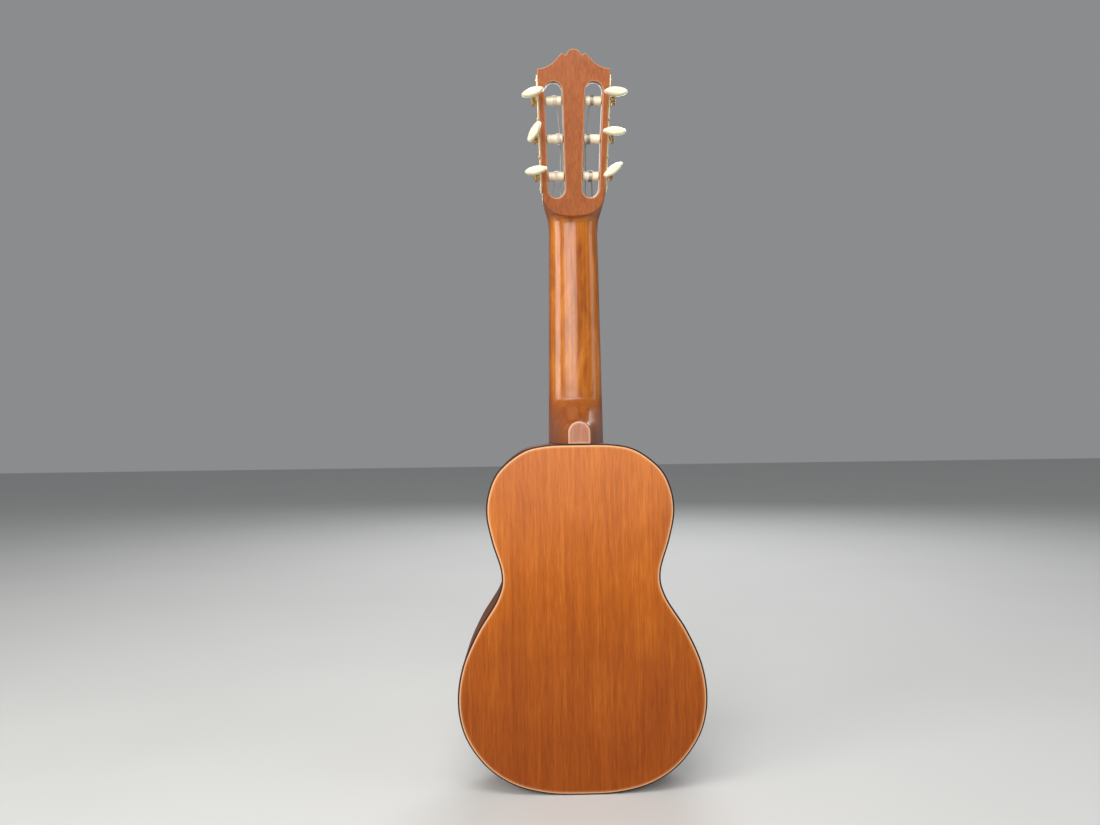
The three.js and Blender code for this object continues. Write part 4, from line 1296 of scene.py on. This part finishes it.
def makeButton(tag, side, y, turn, v):
    # Ovals stacked along the shaft: each is a flattened superellipse, and width and thickness follow
    # two smooth lines through their stations
    stations = np.array([
        (0.0, 0.30, 0.72), (0.9, 0.38, 0.78), (2.2, 0.57, 0.86), (4.0, 0.82, 0.95), (6.5, 0.97, 1.0),
        (9.5, 1.0, 1.0), (12.5, 0.985, 0.97), (14.4, 0.95, 0.86), (15.4, 0.90, 0.70), (15.85, 0.83, 0.52),
        (16.0, 0.72, 0.30),
    ])
    line = through(stations, 48)
    along, wide, thick = np.clip(line[:, :1], 0, v["buttonLength"]), line[:, 1:2], line[:, 2:]
    c, s = np.cos(circle(56)), np.sin(circle(56))
    c, s = np.sign(c) * np.abs(c) ** 0.62, np.sign(s) * np.abs(s) ** 0.62
    halfWide, halfThick = v["buttonHalf"]
    u = c * wide * halfWide
    w = s * thick * halfThick * (1 - 0.40 * np.abs(c) ** 1.6)
    angle = radians(-turn)
    x = side * (u * cos(angle) - w * sin(angle)) + v["wormOut"]
    up = u * sin(angle) + w * cos(angle) + y + v["wormOffset"]
    points, faces = capped(fromSide(side, stacked(x, up, -v["rollerDepth"] - v["buttonStart"] - along)))
    replaced = [f"button_{tag}"]
    addPiece(f"knob_{tag}", points, faces, buttonPlastic, f"peg_{tag}", replaced, 60)


def makeWorm(tag, side, y, v):
    # Circles along the shaft whose radius swells and falls once a lead as a helix, between two collars
    lead = 2 * pi * v["pitchRadius"] / v["teeth"]
    threadHalf, post, tab, end = v["threadHalf"], v["post"], v["tabCentre"], v["buttonStart"]
    before = [(-tab - 1.3, post - 0.25), (-tab - 1.1, post), (-threadHalf - 0.02, post)]
    after = [
        (threadHalf + 0.02, post), (tab + 0.7, post), (tab + 0.72, 2.1), (tab + 1.7, 2.1),
        (tab + 1.9, post + 0.1), (end - 1.6, post + 0.1), (end - 1.5, 2.5), (end - 0.25, 2.7),
        (end - 0.05, 2.4), (end + 6, post),
    ]
    thread = [(depth, 0) for depth in np.linspace(-threadHalf, threadHalf, 64)]
    depth, plain = np.array([*before, *thread, *after]).T[..., None]
    a = circle(28)
    phase = -depth / lead - (a + pi / 2) / (2 * pi)
    swell = v["wormOffset"] - v["pitchRadius"] - v["meshGap"] + v["toothHeight"] * np.cos(2 * pi * phase)
    swell = np.minimum(swell, post + (threadHalf - np.abs(depth)) * 2 + 0.3)
    radius = np.where(np.abs(depth) <= threadHalf, swell, plain)
    x = side * radius * np.cos(a) + v["wormOut"]
    up = radius * np.sin(a) + y + v["wormOffset"]
    points, faces = capped(fromSide(side, stacked(x, up, -depth - v["rollerDepth"])))
    addPiece(f"thread_{tag}", points, faces, wormBrass, f"peg_{tag}", [f"worm_{tag}"])


def slottedHead(radius, height, slot):
    # A dome whose top dips along a straight slot; returned as (x, y, height) rings from rim to middle
    q = np.linspace(0, 1, 14)[:, None]
    a = circle(40)
    r = radius * np.cos(q * pi / 2) ** 0.8
    dip = slot * 1.1 * (1 - smoothed((np.abs(r * np.sin(a)) - slot * 0.42) / 0.18)) * (q > 0)
    dome = stacked(r * np.cos(a), r * np.sin(a), height * (0.35 + 0.65 * np.sin(q * pi / 2)) - dip)
    return np.concatenate([dome[:1] * (1, 1, 0), dome])


def makeGear(tag, side, y, v):
    # The rim rises and falls once a tooth; its two edges are eased, and a slotted screw holds it
    a = circle(v["teeth"] * 10)
    half = v["gearThick"] / 2
    across, edge = np.array([
        (-half, -1.2), (-half, -0.3), (-half + 0.3, 0), (half - 0.3, 0), (half, -0.3), (half, -1.2),
    ]).T[..., None]
    radius = v["pitchRadius"] - v["meshGap"] - v["toothHeight"] * np.cos(v["teeth"] * a) + edge
    place = np.array([v["wormOut"], y, -v["rollerDepth"]])
    wheel = turnedOut(*capped(stacked(across, radius * np.cos(a), -radius * np.sin(a)) + place))
    screw = slottedHead(2.1, 0.8, 0.5)[..., [2, 0, 1]] + place + (half - 0.02, 0, 0)
    points, faces = joined([wheel, turnedOut(*capped(screw))])
    points = fromSide(side, points)
    addPiece(f"wheel_{tag}", points, faces, wormBrass, f"winder_{tag}", [f"gear_{tag}"], 45)


def makeRoller(tag, side, y, v):
    # A barrel with eased ends, turned round its axis, with a dimple where the string goes in; and the
    # steel post that runs through it, a profile of (radius, place along the axis) turned once round
    inset, reach = neckShape["slotInset"], neckShape["slotRadius"] - 0.5
    length, barrel, journal = 2 * reach, v["rollerRadius"], v["journal"]
    ends = [(0, journal), (0, barrel - 0.55), (0.12, barrel - 0.25), (0.35, barrel - 0.06), (0.7, barrel)]
    plain = [(u, barrel) for u in np.linspace(1.2, length - 1.2, 60)]
    u, r = np.array([*ends, *plain, *((length - u, r) for u, r in ends[::-1])]).T[..., None]
    a = circle(72)
    spot = 1.9 if side > 0 else 4.4
    near = np.hypot(u - length * 0.5 - 2.6, barrel * ((a - spot + pi) % (2 * pi) - pi))
    dent = 2.2 * (1 - smoothed((near - 0.62) / 0.28))
    r = r - np.where((u > 1.2) & (u < length - 1.2), dent, 0)
    rings = stacked(u - inset - reach, y + r * np.sin(a), r * np.cos(a) - v["rollerDepth"])
    points, faces = capped(fromSide(side, rings))
    body, replaced = f"winder_{tag}", [f"roller_{tag}"]
    addPiece(f"barrel_{tag}", points, faces, rollerPlastic, body, replaced, 55)

    post, end, gear = v["post"], v["postEnd"], v["wormOut"] - v["gearThick"] / 2
    tip = v["wormOut"] + v["gearThick"] / 2 - 0.4
    radius, along = np.array([
        (0.3, end), (journal - 0.3, end), (journal, end + 0.3), (journal, gear - 0.32), (post, gear - 0.3),
        (post, tip), (0.3, tip),
    ]).T[..., None]
    a = circle(28)
    rings = stacked(along, y + radius * np.cos(a), radius * np.sin(a) - v["rollerDepth"])
    points, faces = capped(fromSide(side, rings))
    addPiece(f"post_{tag}", points, faces, wormBrass, body, sharp=45)


def aroundHole(left, right, low, high, hole):
    # Where each ray from the middle of a round hole leaves the rectangle, and the hole's own circle
    a = circle(48) + pi / 48
    c, s = np.cos(a), np.sin(a)
    reach = np.minimum(np.where(c > 0, right, left) / np.abs(c), np.where(s > 0, high, low) / np.abs(s))
    return np.stack([c * reach, s * reach], -1), np.stack([c, s], -1) * hole


def ringPlate(outer, inner, low, high):
    # A flat plate between two outlines, from low to high
    rings = [withHeight(flat, z) for flat, z in ((outer, low), (outer, high), (inner, high), (inner, low))]
    return np.array(rings).reshape(-1, 3), gridFaces(4, len(outer), True, True)


def makePlate(side, v):
    # Three cells, each pierced for a roller's post, and two pierced tabs at each worm
    thick, width, low, high = v["plate"]
    half = v["tabWidth"] / 2
    seams = (low, -v["pitch"] / 2, v["pitch"] / 2, high)
    solids = []
    for i, y in enumerate(rollerPlaces):
        lower, upper = y - seams[i], seams[i + 1] - y
        outer, inner = aroundHole(width / 2 - 0.5, width / 2 + 0.5, lower, upper, v["journal"] + 0.35)
        cell, faces = ringPlate(outer, inner, 0.05, thick + 0.05)
        cell = stacked(cell[:, 2], cell[:, 1] + y, -cell[:, 0] - v["rollerDepth"])
        solids.append(turnedOut(cell, faces))
        for z in (-v["tabCentre"], v["tabCentre"]):
            outer, inner = aroundHole(v["wormOut"] - 0.2, half - 0.2, half, half, v["post"] + 0.25)
            corner = np.hypot(*outer.T)
            pull = np.where(outer[:, 0] > 0, np.minimum(1, half / corner), 1)
            tab, faces = ringPlate(outer * pull[:, None], inner, -0.6, 0.6)
            place = (v["wormOut"], y + v["wormOffset"], z - v["rollerDepth"])
            solids.append(turnedOut(tab + place, faces))
    points, faces = joined(solids)
    word = "treble" if side > 0 else "bass"
    points, replaced = fromSide(side, points), [f"tuner_plate_{word}"]
    plate = addPiece(f"sidePlate_{word}", points, faces, plateBrass, "guitar", replaced, 35)
    bevel = plate.modifiers.new("easedEdges", "BEVEL")
    bevel.width = 0.00022
    bevel.segments = 2
    bevel.limit_method = "ANGLE"
    heads = []
    for k, y in enumerate(v["screws"]):
        x, z, rise = np.moveaxis(slottedHead(2.3, 1.1, 0.6), -1, 0)
        a = 0.7 + 1.3 * k                  # each screw has stopped at its own angle
        middle = -v["rollerDepth"] - 0.5
        head = stacked(rise + thick + 0.04, x * cos(a) - z * sin(a) + y, x * sin(a) + z * cos(a) + middle)
        heads.append(turnedOut(*capped(head)))
    points, faces = joined(heads)
    points = fromSide(side, points)
    addPiece(f"plateScrews_{word}", points, faces, plateBrass, "guitar", sharp=45)


for side, word in ((-1, "bass"), (1, "treble")):
    makePlate(side, tunerShape)
    for i, y in enumerate(rollerPlaces):
        tag = f"{word}_{i + 1}"
        makeButton(tag, side, y, tunerShape["buttonTurn"][side][i], tunerShape)
        makeWorm(tag, side, y, tunerShape)
        makeGear(tag, side, y, tunerShape)
        makeRoller(tag, side, y, tunerShape)
print("tuners are built")


def softCorners(route, reach):
    # Straight runs joined by short parabolas that start and end within reach of each corner
    route = np.asarray(route, float)
    pieces = [route[:1]]
    t = np.linspace(0, 1, 9)[:, None]
    for before, corner, after in zip(route[:-2], route[1:-1], route[2:]):
        back, ahead = before - corner, after - corner
        farBack, farAhead = np.linalg.norm(back), np.linalg.norm(ahead)
        span = min(reach, farBack * 0.45, farAhead * 0.45)
        first, last = corner + back / farBack * span, corner + ahead / farAhead * span
        pieces.append(first * (1 - t) ** 2 + 2 * corner * t * (1 - t) + last * t**2)
    pieces.append(route[-1:])
    return np.concatenate(pieces)


def makeString(side, i, v):
    # Round tubes: over the saddle and the nut to the roller, a loop over the tie block at the bridge,
    # and on the roller a helix that starts where the string arrives and dives into the hole
    tag = f"treble_{i + 1}" if side > 0 else f"bass_{i + 1}"
    r = v["radii"][side][i]
    atSaddle = stringSpots(v["spreadSaddle"])[side, i]
    atNut = stringSpots(v["spreadNut"])[side, i]
    tieWidth, tieHeight = bridgeShape["tieBlock"]
    front, rear, top = bridgeLow + tieWidth, bridgeLow, topZ + tieHeight + 0.02
    overSaddle, overNut = topZ + boardShape["saddleTop"] + r, boardTop + boardShape["nutProud"] + 0.03
    depth, onRoller = tunerShape["rollerDepth"], tunerShape["rollerRadius"] + r + 0.03
    inset = v["windingInset"][i]
    line = softCorners([
        (atSaddle, front - 0.4, top - 0.9), (atSaddle, saddleY, overSaddle),
        (atNut, general["nutY"] + 0.6, overNut), (atNut, general["nutY"] + 3.4, overNut - 0.25),
        fromSide(side, (-inset, rollerPlaces[i], onRoller - depth)),
    ], 1.6)

    x, g = atSaddle, r + 0.1
    knot = through([
        (x, rear + 1.5, top - 4.6), (x, rear - g, top - 4.0), (x + 0.2, rear - g, top - 1.0),
        (x + 0.4, rear + 0.6, top + g), (x + 0.5, front - 1.2, top + g), (x + 0.7, front + g, top - 0.2),
        (x + 0.5 + r, front + 1.1, top - 1.6 - r), (x - 0.5 - r, front + 1.2, top - 1.7 - r),
        (x - 0.9 - r, front + g, top - 0.1), (x - 1.1 - r, front - 1.2, top + g),
        (x - 1.3 - r, rear + 0.8, top + g), (x - 1.3 - r, rear - g, top - 0.8),
        (x - 0.6, rear - g - 0.1, top - 2.4), (x + 1.1, rear - g - r, top - 2.8),
        (x + 2.6, rear - g - 1.4, top - 2.2),
    ], 110)

    turns = v["turns"][side][i]
    a = np.linspace(0, 2 * pi * turns, int(turns * 40))
    rho = onRoller - 2.4 * smoothed((a - a[-1] + 0.7) / 0.7)
    along = -inset - v["windingWay"][i] * (2 * r + 0.06) * a / (2 * pi)
    coil = fromSide(side, stacked(along, rollerPlaces[i] + rho * np.sin(a), rho * np.cos(a) - depth))

    finish, slot = (nylon, "nylon_string") if side > 0 else (wound, "wound_string")
    for name, body, path, replaced in (
        (f"line_{tag}", "guitar", line, [f"string_{tag}"]), (f"tie_{tag}", "guitar", knot, ()),
        (f"coil_{tag}", f"winder_{tag}", coil, ()),
    ):
        points, faces = capped(tube(path, r, v["sides"]))
        addPiece(name, points, faces, finish, body, replaced, 60, tubeUv(path, v["sides"]))


for side in (-1, 1):
    for i in range(3):
        makeString(side, i, stringShape)
print("strings are on")


inside = {
    "neck_block": innerWood, "tail_block": innerWood, "back_lining": innerWood, "top_lining": innerWood,
    "top_bar_upper": innerWood, "top_bar_lower": innerWood,
    "back_bar_upper": innerWood, "back_bar_middle": innerWood, "back_bar_lower": innerWood,
    "fan_strut_treble": topWood, "fan_strut_centre": topWood, "fan_strut_bass": topWood,
    "tail_strip": blackPlastic,
}
for node, finish in inside.items():
    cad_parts[node].data.materials.clear()
    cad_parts[node].data.materials.append(finish)
print("the drawn pieces that stay have their finishes")


def addFloor():
    look = Look("paleFloor")
    cloud = look.noise(look.place(), 3.0, 2.0)
    colour = look.mix(cloud, (0.62, 0.63, 0.62), (0.58, 0.585, 0.58))
    finish = look.finish({"Base Color": colour, "Roughness": 0.8})
    mesh = bpy.data.meshes.new("floor")
    corners = [(-6.0, -6.0, 0), (6.0, -6.0, 0), (6.0, 6.0, 0), (-6.0, 6.0, 0)]
    mesh.from_pydata(corners, [], [(0, 1, 2, 3)])
    mesh.materials.append(finish)
    floor = bpy.data.objects.new("floor", mesh)
    bpy.context.scene.collection.objects.link(floor)


def addWorld():
    world = bpy.data.worlds.new("room")
    world.use_nodes = True
    world.node_tree.nodes["Background"].inputs["Color"].default_value = (0.80, 0.82, 0.84, 1)
    world.node_tree.nodes["Background"].inputs["Strength"].default_value = 0.32
    bpy.context.scene.world = world


addFloor()
addWorld()

print("all pieces are built")
